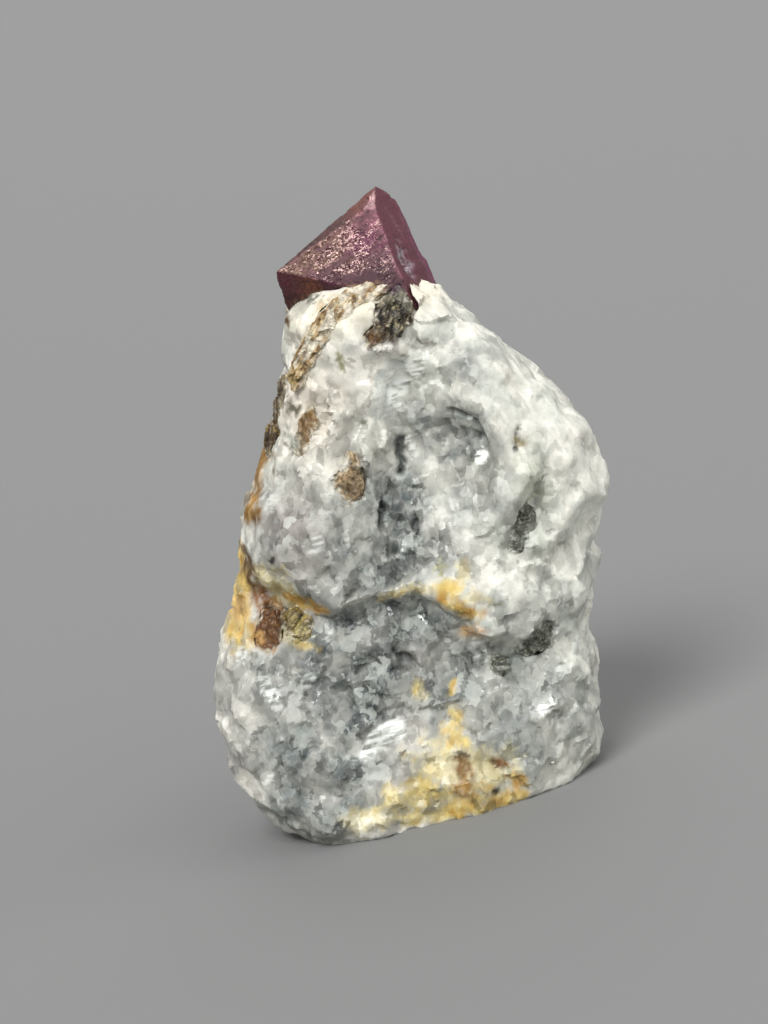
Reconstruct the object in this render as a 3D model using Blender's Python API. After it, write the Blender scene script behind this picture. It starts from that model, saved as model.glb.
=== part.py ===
"""A ruby crystal that stands out of the top of a loose lump of calcite marble, with mica and dark grains.

The lump stands on its flat broken base. The front is -Y, up is +Z, and the origin is under the middle of the
whole specimen. All sizes below are in millimetres, and meshes are made in metres.
"""

import math

import bmesh
import bpy
import numpy as np
from mathutils import Euler, Matrix, Vector
from mathutils.bvhtree import BVHTree

MM = 0.001
GAP = 0.3
SEED = 7

# Marble matrix: its edges seen from the front and from the side, as pairs of height and distance
MATRIX_TOP = 58.9
LEFT_EDGE = [(0, -19.0), (2.5, -21.2), (6.5, -24.2), (10, -25.5), (15, -25.0), (20.5, -23.2), (24, -21.4),
             (28.5, -19.3), (34, -17.0), (38, -14.7), (41, -12.6), (45, -10.7), (47.5, -9.1), (50.5, -7.5),
             (54, -6.9), (57.3, -5.6), (MATRIX_TOP, -3.4)]
RIGHT_EDGE = [(0, 15.0), (2, 17.0), (5, 16.6), (9, 17.9), (15.5, 18.0), (19.5, 20.3), (23.5, 21.2),
              (27, 22.4), (30.8, 23.9), (33, 23.5), (36.5, 23.4), (39, 21.8), (42, 21.0), (45.5, 17.8),
              (48, 17.0), (51, 14.8), (53.5, 12.2), (55.7, 10.6), (57.5, 9.3), (MATRIX_TOP, 6.5)]
FRONT_FACE = [(0, -14.6), (2, -15.1), (10, -15.2), (18, -14.4), (30, -13.2), (42, -12.2), (52, -11.2),
              (57, -10.0), (MATRIX_TOP, -8.0)]
BACK_FACE = [(0, 13.0), (8, 14.6), (22, 13.6), (34, 12.4), (45, 10.4), (54, 8.6), (57, 7.4),
             (MATRIX_TOP, 5.0)]
CORNER_FULLNESS = {"front_right": 2.6, "front_left": 3.4, "back_left": 2.7, "back_right": 2.5}
OUTLINE_STEPS = 720
POINTS_AROUND = 200
RINGS = 150
BELOW_BASE = -2.4
MATRIX_TRIANGLES = 7000

# Lumps (positive) and hollows (negative): centre, radii, height, and lean from upright in the front view
RELIEF = {
    "valley_top": ((5.5, -12, 48), (3.6, 8, 6.5), -2.2, 20),
    "valley_middle": ((1.8, -12, 36.5), (4.6, 8, 8.0), -2.9, 16),
    "valley_foot": ((-2.5, -13, 28), (4.5, 8, 4.0), -1.6, 10),
    "hollow_under_rim": ((8.2, -12, 38.6), (3.0, 7, 3.9), -1.7, 0),
    "rim": ((12.8, -12, 40.5), (2.4, 8, 5.2), 1.0, -12),
    "left_shoulder": ((-10.5, -12, 34.6), (5.4, 8, 5.0), 2.3, 25),
    "ruby_foot": ((8.8, -7, 54.6), (2.4, 5, 2.2), 1.4, 0),
    "white_brow": ((0.2, -11, 53.2), (4.2, 6, 3.4), 1.1, -30),
    "upper_right_lump": ((13.6, -11, 47.3), (3.6, 7, 3.2), 1.3, -45),
    "right_lump": ((18.2, -10, 37.0), (3.6, 8, 4.6), 1.7, 0),
    "middle_right_lump": ((12.6, -12, 33.6), (2.9, 7, 3.0), 1.4, 0),
    "right_rim_lump": ((20.5, -8, 31.0), (3.6, 6, 3.6), 1.0, 0),
    "groove_right": ((17.0, -10, 25.2), (5.0, 7, 1.8), -1.2, -20),
    "groove_between_lumps": ((15.6, -12, 33.0), (1.3, 7, 4.2), -1.2, 12),
    "shell_lump": ((10.4, -13, 23.4), (3.4, 7, 2.4), 1.7, -30),
    "notch_left": ((-14.6, -13, 27.6), (2.3, 6, 2.2), -1.9, 25),
    "lower_concave": ((-4.5, -14, 14.5), (8.5, 9, 6.5), -2.0, -8),
    "lower_right_swell": ((11.3, -12, 8.8), (5.2, 8, 5.2), 1.3, 0),
    "lower_left_swell": ((-19.5, -10, 15.5), (4.0, 8, 6.0), 1.0, 15),
    "toe": ((-15.6, -14, 2.6), (2.2, 5, 2.0), 1.2, 0),
    "side_dent_right": ((20, 9, 14.0), (6, 5, 4.5), -1.4, 0),
    "side_dent_left": ((-22, 4, 31.0), (7, 5, 5.0), -1.6, 0),
    "back_ridge": ((3.0, 14, 27.0), (4.5, 8, 17.0), 2.2, 12),
    "back_hollow": ((-8.5, 13, 19.0), (5.5, 8, 7.0), -2.4, 0),
    "back_shelf": ((11.0, 12, 15.0), (6.5, 8, 3.2), 2.0, 0),
    "back_upper_pit": ((2.0, 10, 48.0), (3.8, 7, 3.6), -1.5, 0),
    "back_left_lump": ((-13.0, 11, 34.0), (4.2, 8, 4.6), 1.7, 0),
}
# Flat fracture faces that cut the lump: azimuth from the front, tilt up, and distance from the middle
FRACTURE_MIDDLE = (0.0, 0.0, 27.0)
FRACTURES = [(142, 16, 19.0), (-148, 12, 19.2), (-100, -6, 23.6), (84, 34, 24.6), (174, -22, 18.0),
             (118, -14, 20.6), (-62, 10, 24.8), (38, -10, 22.4)]
FRACTURE_PULL = 0.85
# Steps in the front, each along a line seen from the front. One side stands out as a lip and the other is
# set back, and each fades away from the line. A level line gives height by distance across, an upright one
# the other way round. Lip and setback are depths with their fades, and reach is the share of the step there.
STEP_WIDTH = 0.3
STEPS = {
    "ledge": {
        "upright": False, "raised": 1, "lip": (1.2, 7.0), "setback": (2.3, 8.0), "droop": (0.7, 1.6),
        "line": [(-24, 27.5), (-18, 29.3), (-13.6, 30.0), (-10.5, 26.6), (-4.9, 26.0), (1.2, 24.6),
                 (4.2, 20.4), (7.6, 18.0), (11.5, 17.6), (15, 19.0), (22, 20.0)],
        "reach": [(-22, 0.5), (-14, 0.9), (-8, 1.0), (6, 1.0), (12, 0.6), (20, 0.15)],
    },
    "rim_of_hollow": {
        "upright": True, "raised": 1, "lip": (1.2, 4.5), "setback": (2.2, 3.5), "droop": (0.0, 1.0),
        "line": [(29, 7.5), (31.5, 8.8), (33.4, 10.0), (37.4, 11.7), (40.9, 11.1), (42.7, 10.5),
                 (46, 8.4), (50, 7.6)],
        "reach": [(29.5, 0.0), (33, 0.8), (36, 1.0), (43, 1.0), (47, 0.35), (50, 0.0)],
    },
    "left_of_valley": {
        "upright": True, "raised": -1, "lip": (0.8, 4.0), "setback": (1.5, 3.5), "droop": (0.0, 1.0),
        "line": [(26, -4.6), (30, -3.0), (35, -1.3), (40, -0.4), (44, 1.2), (49, 4.0)],
        "reach": [(26, 0.0), (30, 0.8), (40, 1.0), (46, 0.5), (50, 0.0)],
    },
}
# Cleavage facets that break the whole surface into small flat planes, a few millimetres across
FACETS = 520
FACET_SPACING = (1.0, 5.0)
FACET_STRETCH = 0.45
FACET_PULL = 0.8
FACET_TILT = 0.26
FACET_OFFSET = 0.22
FACET_REACH = 1.2
FACET_BLEND = 0.8

# Ruby: each face by the way it looks (azimuth from the front, tilt up) and its distance from the middle
RUBY_MIDDLE = (3.0, -2.0, 59.0)
RUBY_FACES = {
    "front": (-5, 25, 4.85),
    "upper": (-41, 62, 6.5),
    "apex": (5, 54, 7.15),
    "right": (68, 15, 5.5),
    "far_right": (83, 10, 6.3),
    "under": (-30, -28, 4.9),
    "back": (-144, 36, 4.0),
    "back_top": (178, 42, 7.3),
    "back_right": (145, 3, 7.4),
    "back_left": (-130, 10, 5.8),
    "foot": (0, -90, 6.0),
}
UNCUT = 30

# Crystals and grains set in the matrix. Each block: place across and up on the face that it is seen from,
# width, height, depth, lean from upright, and how much of it stands out of the stone
BLOCK = "block"
BOOK = "book"
FROM_FRONT, FROM_LEFT, FROM_BACK = 0, -60, 180
GRAINS = {
    "mica_under_ruby": (FROM_FRONT, BLOCK, [
        (6.4, 56.0, 3.0, 2.0, 3.0, 62, 0.45),
        (4.7, 54.7, 2.9, 2.8, 3.2, 20, 0.55),
        (3.2, 53.4, 2.2, 1.8, 2.6, -25, 0.35),
    ]),
    "mica_seam": (FROM_FRONT, BOOK, [
        (1.9, 57.6, 1.1, 4.4, 3.2, 86, 0.3),
        (-1.0, 56.9, 1.2, 3.4, 3.2, 62, 0.35),
        (-2.9, 55.4, 1.1, 3.6, 3.2, 45, 0.35),
        (-4.7, 53.5, 1.3, 3.6, 3.2, 40, 0.35),
        (-6.0, 51.7, 1.2, 3.0, 3.2, 34, 0.3),
    ]),
    "mica_left_edge": (FROM_LEFT, BOOK, [
        (-0.8, 48.8, 2.2, 3.0, 2.2, 14, 0.4),
        (-1.3, 46.4, 2.6, 3.8, 2.4, 14, 0.5),
        (-2.0, 44.0, 2.4, 3.6, 2.4, 14, 0.45),
    ]),
    "mica_book_amber": (FROM_FRONT, BOOK, [
        (-7.1, 45.3, 1.3, 3.7, 2.0, 24, 0.4),
        (-7.9, 43.9, 1.1, 2.3, 1.8, 12, 0.25),
    ]),
    "mica_book_tan": (FROM_FRONT, BLOCK, [
        (-3.6, 38.6, 2.1, 2.5, 2.4, 14, 0.45),
        (-3.0, 40.3, 0.9, 2.3, 1.8, 8, 0.3),
    ]),
    "mica_red_brown": (FROM_FRONT, BLOCK, [(-16.4, 24.8, 1.8, 3.5, 2.4, 14, 0.5)]),
    "mica_ochre": (FROM_FRONT, BLOCK, [(-13.3, 24.7, 2.0, 2.8, 2.2, -20, 0.4)]),
    "dark_grain_upper": (FROM_FRONT, BLOCK, [
        (13.5, 30.3, 1.4, 2.3, 2.2, 6, 0.35),
        (12.6, 28.9, 1.0, 1.6, 1.8, 25, 0.25),
        (12.0, 27.8, 0.8, 1.5, 1.4, 28, 0.2),
    ]),
    "dark_grain_lower": (FROM_FRONT, BLOCK, [
        (11.8, 17.0, 2.4, 2.1, 2.4, 40, 0.35),
        (10.5, 16.3, 1.5, 1.4, 1.8, 60, 0.25),
    ]),
    "dark_grain_small": (FROM_FRONT, BLOCK, [(7.2, 15.2, 1.0, 1.0, 1.4, 30, 0.2)]),
    "mica_book_back": (FROM_BACK, BOOK, [(-7.5, 38.0, 3.6, 4.6, 2.4, -20, 0.5)]),
    "mica_clump_back": (FROM_BACK, BLOCK, [
        (10.5, 22.5, 3.6, 2.8, 2.6, 35, 0.5),
        (12.3, 24.2, 2.2, 2.4, 2.2, 10, 0.35),
    ]),
    "dark_grain_back": (FROM_BACK, BLOCK, [(-3.5, 12.5, 2.4, 3.0, 2.2, 15, 0.4)]),
}
FACES_VIEWER = 1.2
BLOCK_SIDE_LEAN = 0.12
BLOCK_CORNERS = (0.64, 0.86)
BOOK_FULLNESS = 0.92
BOOK_TURN = (-8, 8)
SEEDS_PER_GRAIN = 10

# Colours as linear red, green, blue, then roughness
FINISHES = {
    "marble": ((0.66, 0.68, 0.68), 0.45),
    "ruby": ((0.13, 0.035, 0.065), 0.3),
    "mica_dark": ((0.05, 0.045, 0.035), 0.35),
    "mica_tan": ((0.26, 0.16, 0.08), 0.35),
    "mica_amber": ((0.24, 0.10, 0.03), 0.35),
    "dark_mineral": ((0.035, 0.045, 0.035), 0.4),
}
FINISH_OF = {
    "marble_matrix": "marble", "ruby": "ruby", "mica_under_ruby": "mica_dark", "mica_seam": "mica_tan",
    "mica_left_edge": "mica_dark", "mica_book_amber": "mica_amber", "mica_book_tan": "mica_tan",
    "mica_red_brown": "mica_amber", "mica_ochre": "mica_amber", "dark_grain_upper": "dark_mineral",
    "dark_grain_lower": "dark_mineral", "dark_grain_small": "dark_mineral", "mica_book_back": "mica_tan",
    "mica_clump_back": "mica_dark", "dark_grain_back": "dark_mineral",
}


def clear_scene():
    for obj in list(bpy.data.objects):
        bpy.data.objects.remove(obj, do_unlink=True)


def new_collection(name):
    made = bpy.data.collections.new(name)
    bpy.context.scene.collection.children.link(made)
    return made


def finish_material(name):
    """The material of this finish, made once."""
    if name in bpy.data.materials:
        return bpy.data.materials[name]
    colour, roughness = FINISHES[name]
    material = bpy.data.materials.new(name)
    material.use_nodes = True
    shader = material.node_tree.nodes["Principled BSDF"]
    shader.inputs["Base Color"].default_value = (*colour, 1)
    shader.inputs["Roughness"].default_value = roughness
    shader.inputs["Metallic"].default_value = 0
    return material


def new_object(name, bm, collection, is_cutter=False):
    """An object from a bmesh in millimetres."""
    bmesh.ops.scale(bm, vec=(MM, MM, MM), verts=bm.verts)
    bmesh.ops.recalc_face_normals(bm, faces=bm.faces)
    mesh = bpy.data.meshes.new(name)
    bm.to_mesh(mesh)
    bm.free()
    obj = bpy.data.objects.new(name, mesh)
    collection.objects.link(obj)
    if is_cutter:
        obj.hide_render = True
        obj.display_type = "WIRE"
    else:
        mesh.materials.append(finish_material(FINISH_OF[name]))
    return obj


def add_boolean(obj, other, operation):
    modifier = obj.modifiers.new(operation.lower() + "_" + other.name, "BOOLEAN")
    modifier.operation = operation
    modifier.solver = "EXACT"
    modifier.object = other


def looking(azimuth, tilt):
    """The unit vector of this azimuth, counted from the front towards the right, and tilt up, in degrees."""
    a, t = math.radians(azimuth), math.radians(tilt)
    return Vector((math.sin(a) * math.cos(t), -math.cos(a) * math.cos(t), math.sin(t)))


# Marble matrix

def read_off(pairs, places):
    known, values = zip(*pairs)
    return np.interp(places, known, values)


def section(height):
    """One level outline of the lump: points at even steps, from the front's middle to the right."""
    left, right = read_off(LEFT_EDGE, height), read_off(RIGHT_EDGE, height)
    front, back = read_off(FRONT_FACE, height), read_off(BACK_FACE, height)
    angle = np.linspace(0, 2 * math.pi, OUTLINE_STEPS + 1)
    across, along = np.sin(angle), -np.cos(angle)
    rightness, frontness = (across + 1) / 2, (1 - along) / 2
    fullness = (frontness * (rightness * CORNER_FULLNESS["front_right"]
                             + (1 - rightness) * CORNER_FULLNESS["front_left"])
                + (1 - frontness) * (rightness * CORNER_FULLNESS["back_right"]
                                     + (1 - rightness) * CORNER_FULLNESS["back_left"]))
    x = (left + right) / 2 + (right - left) / 2 * np.sign(across) * np.abs(across) ** (2 / fullness)
    y = (front + back) / 2 + (back - front) / 2 * np.sign(along) * np.abs(along) ** (2 / fullness)
    walked = np.concatenate([[0], np.cumsum(np.hypot(np.diff(x), np.diff(y)))])
    stops = np.linspace(0, walked[-1], POINTS_AROUND, endpoint=False)
    return np.stack([np.interp(stops, walked, x), np.interp(stops, walked, y)], axis=1)


def grid_normals(grid):
    """Outward normals of a grid of points, ring by ring upwards."""
    around = np.roll(grid, -1, axis=1) - np.roll(grid, 1, axis=1)
    normals = np.cross(around, np.gradient(grid, axis=0))
    return normals / np.linalg.norm(normals, axis=2, keepdims=True)


def with_relief(grid):
    normals = grid_normals(grid)
    moved = grid.copy()
    for centre, radii, height, lean in RELIEF.values():
        away = grid - np.array(centre)
        c, s = math.cos(math.radians(lean)), math.sin(math.radians(lean))
        across, up = away[..., 0] * c - away[..., 2] * s, away[..., 0] * s + away[..., 2] * c
        share = np.exp(-(across / radii[0]) ** 2 - (away[..., 1] / radii[1]) ** 2 - (up / radii[2]) ** 2)
        moved += (height * share)[..., None] * normals
    return moved


def with_step(grid, step):
    """Steps the front along a ragged line: a lip stands out on one side, and the other is set back."""
    facing = np.clip(-grid_normals(grid)[..., 1], 0, 1)
    across, up = grid[..., 0], grid[..., 2]
    along, beside = (up, across) if step["upright"] else (across, up)
    above = step["raised"] * (beside - read_off(step["line"], along))
    share = facing * read_off(step["reach"], along)
    lip, lip_fade = step["lip"]
    setback, setback_fade = step["setback"]
    droop, droop_fade = step["droop"]
    out = lip * np.exp(-np.clip(above, 0, None) / lip_fade)
    back = setback * np.exp(-np.clip(-above, 0, None) / setback_fade)
    blend = 1 / (1 + np.exp(-above / STEP_WIDTH))
    grid = grid.copy()
    grid[..., 1] -= share * (blend * out - (1 - blend) * back)
    grid[..., 2] -= share * blend * droop * np.exp(-np.clip(above, 0, None) / droop_fade)
    return grid


def with_fractures(grid):
    grid = grid.copy()
    for azimuth, tilt, distance in FRACTURES:
        normal = np.array(looking(azimuth, tilt))
        beyond = np.clip((grid - np.array(FRACTURE_MIDDLE)) @ normal - distance, 0, None)
        grid -= FRACTURE_PULL * beyond[..., None] * normal
    return grid


def with_facets(grid, rng):
    """Draws the points around each of many spread-out seeds towards one tilted plane."""
    normals = grid_normals(grid).reshape(-1, 3)
    points = grid.reshape(-1, 3)
    nearest = np.full(len(points), np.inf)
    seeds = []
    for _ in range(FACETS):
        free = np.flatnonzero(nearest >= min(rng.uniform(*FACET_SPACING), nearest.max()))
        seeds.append(int(rng.choice(free)))
        nearest = np.minimum(nearest, np.linalg.norm(points - points[seeds[-1]], axis=1))
    away = points[:, None] - points[seeds][None]
    lengthwise = rng.normal(0, 1, (FACETS, 3))
    lengthwise /= np.linalg.norm(lengthwise, axis=1, keepdims=True)
    squared = (away ** 2).sum(axis=2) - FACET_STRETCH * (away * lengthwise).sum(axis=2) ** 2
    shares = np.exp((squared.min(axis=1, keepdims=True) - squared) / FACET_BLEND)
    shares /= shares.sum(axis=1, keepdims=True)
    moves = np.zeros_like(points)
    for cell, share in enumerate(shares.T):
        normal = share @ normals
        normal = normal / np.linalg.norm(normal) + rng.normal(0, FACET_TILT, 3)
        normal /= np.linalg.norm(normal)
        middle = share @ points / share.sum()
        off_plane = (points - middle) @ normal - rng.normal(0, FACET_OFFSET)
        move = np.clip(FACET_PULL * off_plane, -FACET_REACH, FACET_REACH)
        moves -= (share * move)[:, None] * normal
    return (points + moves).reshape(grid.shape)


def make_matrix(collection, cutters):
    """The lump: a fine closed form, drawn together into few faces and broken off flat at the base."""
    rng = np.random.default_rng(SEED)
    heights = np.linspace(BELOW_BASE, MATRIX_TOP, RINGS)
    grid = np.zeros((RINGS, POINTS_AROUND, 3))
    for index, height in enumerate(heights):
        grid[index, :, :2] = section(height)
        grid[index, :, 2] = height
    grid = with_relief(with_fractures(grid))
    for step in STEPS.values():
        grid = with_step(grid, step)
    grid = with_facets(grid, rng)

    bm = bmesh.new()
    rings = [[bm.verts.new(point) for point in ring] for ring in grid]
    for lower, upper in zip(rings, rings[1:]):
        for i in range(POINTS_AROUND):
            j = (i + 1) % POINTS_AROUND
            bm.faces.new((lower[i], lower[j], upper[j], upper[i]))
    bm.faces.new(rings[0][::-1])
    bm.faces.new(rings[-1])
    bmesh.ops.triangulate(bm, faces=bm.faces)
    fine_triangles = len(bm.faces)
    matrix = new_object("marble_matrix", bm, collection)
    few_faces = matrix.modifiers.new("few_faces", "DECIMATE")
    few_faces.ratio = MATRIX_TRIANGLES / fine_triangles

    bm = bmesh.new()
    bmesh.ops.create_cube(bm, size=2 * UNCUT)
    bmesh.ops.translate(bm, vec=(0, 0, -UNCUT), verts=bm.verts)
    add_boolean(matrix, new_object("under_base", bm, cutters, is_cutter=True), "DIFFERENCE")
    return matrix


# Crystals cut by flat faces

def cut_by_planes(planes):
    """The solid inside all these planes, each a unit normal and its distance from the middle."""
    bm = bmesh.new()
    bmesh.ops.create_cube(bm, size=2 * UNCUT)
    for normal, distance in planes:
        found = bmesh.ops.bisect_plane(bm, geom=bm.verts[:] + bm.edges[:] + bm.faces[:], dist=1e-5,
                                       plane_co=normal * distance, plane_no=normal, clear_outer=True)
        rim = [item for item in found["geom_cut"] if isinstance(item, bmesh.types.BMEdge)]
        if rim:
            bmesh.ops.contextual_create(bm, geom=rim)
    return bm


def ruby_solid(grow):
    bm = cut_by_planes([(looking(azimuth, tilt), distance + grow)
                        for azimuth, tilt, distance in RUBY_FACES.values()])
    bmesh.ops.translate(bm, vec=RUBY_MIDDLE, verts=bm.verts)
    return bm


def block_solid(width, height, depth, grow, rng):
    """A rough grain: a box whose sides lean a little, with its corners broken off."""
    half = Vector((width / 2, depth / 2, height / 2))
    planes = []
    for axis in range(3):
        for side in (-1, 1):
            normal = Vector(rng.normal(0, BLOCK_SIDE_LEAN, 3))
            normal[axis] += side
            planes.append((normal.normalized(), half[axis] + grow))
    for side_x in (-1, 1):
        for side_y in (-1, 1):
            for side_z in (-1, 1):
                corner = Vector((side_x * half.x, side_y * half.y, side_z * half.z))
                normal = Vector((side_x / half.x, side_y / half.y, side_z / half.z)).normalized()
                cut = corner.dot(normal) * rng.uniform(*BLOCK_CORNERS)
                planes.append((normal, cut + grow))
    return cut_by_planes(planes)


def book_solid(width, height, depth, grow, rng):
    """A mica book: a long six-sided stack with a flat cleavage face on its outer side."""
    half = Vector((width / 2, depth / 2, height / 2))
    planes = [(Vector((0, side, 0)), half.y + grow) for side in (-1, 1)]
    for azimuth in range(30, 390, 60):
        a = math.radians(azimuth + float(rng.uniform(*BOOK_TURN)))
        across, up = math.sin(a), math.cos(a)
        normal = Vector((across / half.x, 0, up / half.z)).normalized()
        planes.append((normal, math.hypot(half.x * normal.x, half.z * normal.z) * BOOK_FULLNESS + grow))
    return cut_by_planes(planes)


def surface_place(tree, view, across, up):
    """Where a straight line from this side meets the stone, and the way that the line comes from."""
    out = looking(view, 0)
    side = Vector((-out.y, out.x, 0))
    start = (side * across + out * UNCUT + Vector((0, 0, up))) * MM
    place, normal, _, _ = tree.ray_cast(start, -out)
    return place / MM, normal


def standing_on(out, lean):
    """Turns a solid's -Y to face out of the stone, and leans its upright clockwise as seen from outside."""
    side = Vector((-out.y, out.x, 0)).normalized()
    up = out.cross(side) * -1
    if up.z < 0:
        up = -up
    back = -out
    turn = Matrix((side, back, up)).transposed().to_4x4()
    return turn @ Euler((0, math.radians(lean), 0)).to_matrix().to_4x4()


def make_grain(name, tree, collection, cutters, rng_seed):
    """One grain or clump: its blocks joined into one solid, and the grown copies that cut its pocket."""
    view, kind, blocks = GRAINS[name]
    solid_of_kind = {BLOCK: block_solid, BOOK: book_solid}[kind]
    solids, pockets = [], []
    for index, (across, up, width, height, depth, lean, proud) in enumerate(blocks):
        place, normal = surface_place(tree, view, across, up)
        out = (normal + looking(view, 0) * FACES_VIEWER).normalized()
        for grow, made, where in ((0, solids, cutters if index else collection), (GAP, pockets, cutters)):
            rng = np.random.default_rng(rng_seed + index)
            bm = solid_of_kind(width, height, depth, grow, rng)
            bmesh.ops.transform(bm, matrix=standing_on(out, lean), verts=bm.verts)
            bmesh.ops.translate(bm, vec=place - out * (depth / 2 - proud), verts=bm.verts)
            is_cutter = bool(index) or bool(grow)
            label = f"{name}_{'pocket' if grow else 'part'}_{index}" if is_cutter else name
            made.append(new_object(label, bm, where, is_cutter=is_cutter))
    for other in solids[1:]:
        add_boolean(solids[0], other, "UNION")
    return solids[0], pockets


def centre_over_origin(specimen):
    """Moves everything sideways, so that the specimen's own box stands centred on the origin."""
    depsgraph = bpy.context.evaluated_depsgraph_get()
    boxes = [obj.evaluated_get(depsgraph).bound_box for obj in specimen.objects]
    corners = np.array([corner for box in boxes for corner in box])
    middle = (corners.min(axis=0) + corners.max(axis=0)) / 2
    for obj in bpy.data.objects:
        obj.location = (-middle[0], -middle[1], 0)


def main():
    clear_scene()
    specimen = new_collection("ruby_specimen")
    cutters = new_collection("cutters")

    matrix = make_matrix(specimen, cutters)
    ruby = new_object("ruby", ruby_solid(0), specimen)
    ruby_pocket = new_object("ruby_pocket", ruby_solid(GAP), cutters, is_cutter=True)

    tree = BVHTree.FromObject(matrix, bpy.context.evaluated_depsgraph_get())
    add_boolean(matrix, ruby_pocket, "DIFFERENCE")
    for number, name in enumerate(GRAINS):
        grain, pockets = make_grain(name, tree, specimen, cutters, SEED + SEEDS_PER_GRAIN * number)
        for pocket in pockets:
            add_boolean(matrix, pocket, "DIFFERENCE")
        add_boolean(grain, ruby_pocket, "DIFFERENCE")
    centre_over_origin(specimen)


main()
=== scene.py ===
"""Looks of a ruby crystal on its lump of calcite marble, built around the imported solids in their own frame."""

import math

import bmesh
import bpy
import numpy as np
from mathutils import Matrix, Vector, noise
from mathutils.bvhtree import BVHTree
from mathutils.kdtree import KDTree


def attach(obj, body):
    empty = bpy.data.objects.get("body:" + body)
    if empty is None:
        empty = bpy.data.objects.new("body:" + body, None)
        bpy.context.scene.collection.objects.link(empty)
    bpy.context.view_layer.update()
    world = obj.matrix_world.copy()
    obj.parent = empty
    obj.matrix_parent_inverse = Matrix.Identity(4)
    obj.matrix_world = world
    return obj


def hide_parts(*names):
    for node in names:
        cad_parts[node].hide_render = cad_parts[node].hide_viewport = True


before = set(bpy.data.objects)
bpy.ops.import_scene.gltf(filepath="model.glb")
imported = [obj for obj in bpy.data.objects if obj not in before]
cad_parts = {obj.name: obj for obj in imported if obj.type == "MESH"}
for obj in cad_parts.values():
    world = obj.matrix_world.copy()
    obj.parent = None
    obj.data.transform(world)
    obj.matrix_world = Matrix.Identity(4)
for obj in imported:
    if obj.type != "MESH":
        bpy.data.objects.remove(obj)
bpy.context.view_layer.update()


# Marble lump: calcite marble broken off the rock, white where it is bruised and blue-grey where it is clear.
# It is one piece of grown-together calcite grains a few millimetres across. Each grain split along its own
# cleavage, so the whole surface is a jumble of small flat steps, stained yellow to brown where water ran.

# Sizes are in millimetres, and the scene's own unit is the metre
MM = 0.001
# The skin step sets how fine the lump's faces are; at 0.3 the lump has about 263,000
# triangles. At 0.3 the lump came to about 263,000 triangles, over the 200,000 that a piece may
# have
SKIN_STEP = 0.35


def linear(hex_colour):
    """The linear red, green and blue of an sRGB hex colour."""
    parts = [int(hex_colour[i:i + 2], 16) / 255 for i in (0, 2, 4)]
    return np.array([part / 12.92 if part <= 0.04045 else ((part + 0.055) / 1.055) ** 2.4 for part in parts])


def pick(obj):
    """Makes this the only selected object, and the active one."""
    bpy.ops.object.select_all(action="DESELECT")
    obj.select_set(True)
    bpy.context.view_layer.objects.active = obj


def node_copy(node, name):
    """A copy of a solid, with its loose triangles merged."""
    obj = bpy.data.objects.new(name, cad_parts[node].data.copy())
    bpy.context.scene.collection.objects.link(obj)
    obj.data.materials.clear()
    pick(obj)
    bpy.ops.object.mode_set(mode="EDIT")
    bpy.ops.mesh.select_all(action="SELECT")
    bpy.ops.mesh.remove_doubles(threshold=1e-6)
    bpy.ops.object.mode_set(mode="OBJECT")
    return obj


def reskin(obj, step_mm):
    """Gives the whole piece an even skin of small faces."""
    pick(obj)
    remesh = obj.modifiers.new("even_skin", "REMESH")
    remesh.mode = "VOXEL"
    remesh.voxel_size = step_mm * MM
    bpy.ops.object.modifier_apply(modifier=remesh.name)


def points_of(obj):
    """The points of the mesh in millimetres, and the way that each faces."""
    mesh = obj.data
    points = np.empty(len(mesh.vertices) * 3)
    normals = np.empty(len(mesh.vertices) * 3)
    mesh.vertices.foreach_get("co", points)
    mesh.vertices.foreach_get("normal", normals)
    return points.reshape(-1, 3) / MM, normals.reshape(-1, 3)


def move_points(obj, points):
    """Puts the points of the mesh at these places."""
    obj.data.vertices.foreach_set("co", (points * MM).ravel())
    obj.data.update()


def blend(first, second, share):
    """Goes from the first to the second by a share for each point."""
    return first + (second - first) * np.clip(share, 0, 1)[:, None]


def rough(points, size_mm, offset=0.0):
    """Smooth noise from -1 to 1 at each point, with bumps of about this size."""
    scaled = points / size_mm + offset
    return np.array([noise.noise(Vector(point)) for point in scaled])


# Noise in three directions takes its start from this number, so every run gives the same shapes
noise.seed_set(5)


def rough_ways(points, size_mm):
    """Smooth noise in three directions at each point, with bumps of about this size."""
    scaled = points / size_mm
    return np.array([noise.noise_vector(Vector(point)) for point in scaled])


def nearest_grains(points, seeds):
    """For each point the seed it belongs to, and how far it is inside that seed's grain."""
    tree = KDTree(len(seeds))
    for index, seed in enumerate(seeds):
        tree.insert(seed, index)
    tree.balance()
    owner = np.empty(len(points), int)
    inside = np.empty(len(points))
    for index, point in enumerate(points):
        (_, first, near), (_, _, far) = tree.find_n(point, 2)
        owner[index] = first
        inside[index] = (far - near) / 2
    return owner, inside


def scattered(points, normals, rng, grain_mm, spread):
    """Seeds of grains of about this size all over the surface, and the way that each grain's face looks."""
    count = int(len(points) * SKIN_STEP ** 2 / grain_mm ** 2)
    chosen = rng.choice(len(points), count, replace=False)
    ways = normals[chosen] + rng.normal(0, spread, (count, 3))
    ways /= np.linalg.norm(ways, axis=1, keepdims=True)
    return points[chosen], ways


def broken_flat(points, normals, rng, grain_mm, spread, lift, pull, ragged):
    """Draws the points of each grain towards one flat face, tilted and lifted its own way."""
    seeds, ways = scattered(points, normals, rng, grain_mm, spread)
    lifts = rng.normal(0, lift, len(seeds))
    owner, inside = nearest_grains(points + ragged * rough_ways(points, grain_mm / 2), seeds)
    off_face = ((points - seeds[owner]) * ways[owner]).sum(axis=1) - lifts[owner]
    move = pull * np.clip(off_face, -grain_mm / 4, grain_mm / 4)
    return points - move[:, None] * ways[owner], owner, inside


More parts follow.
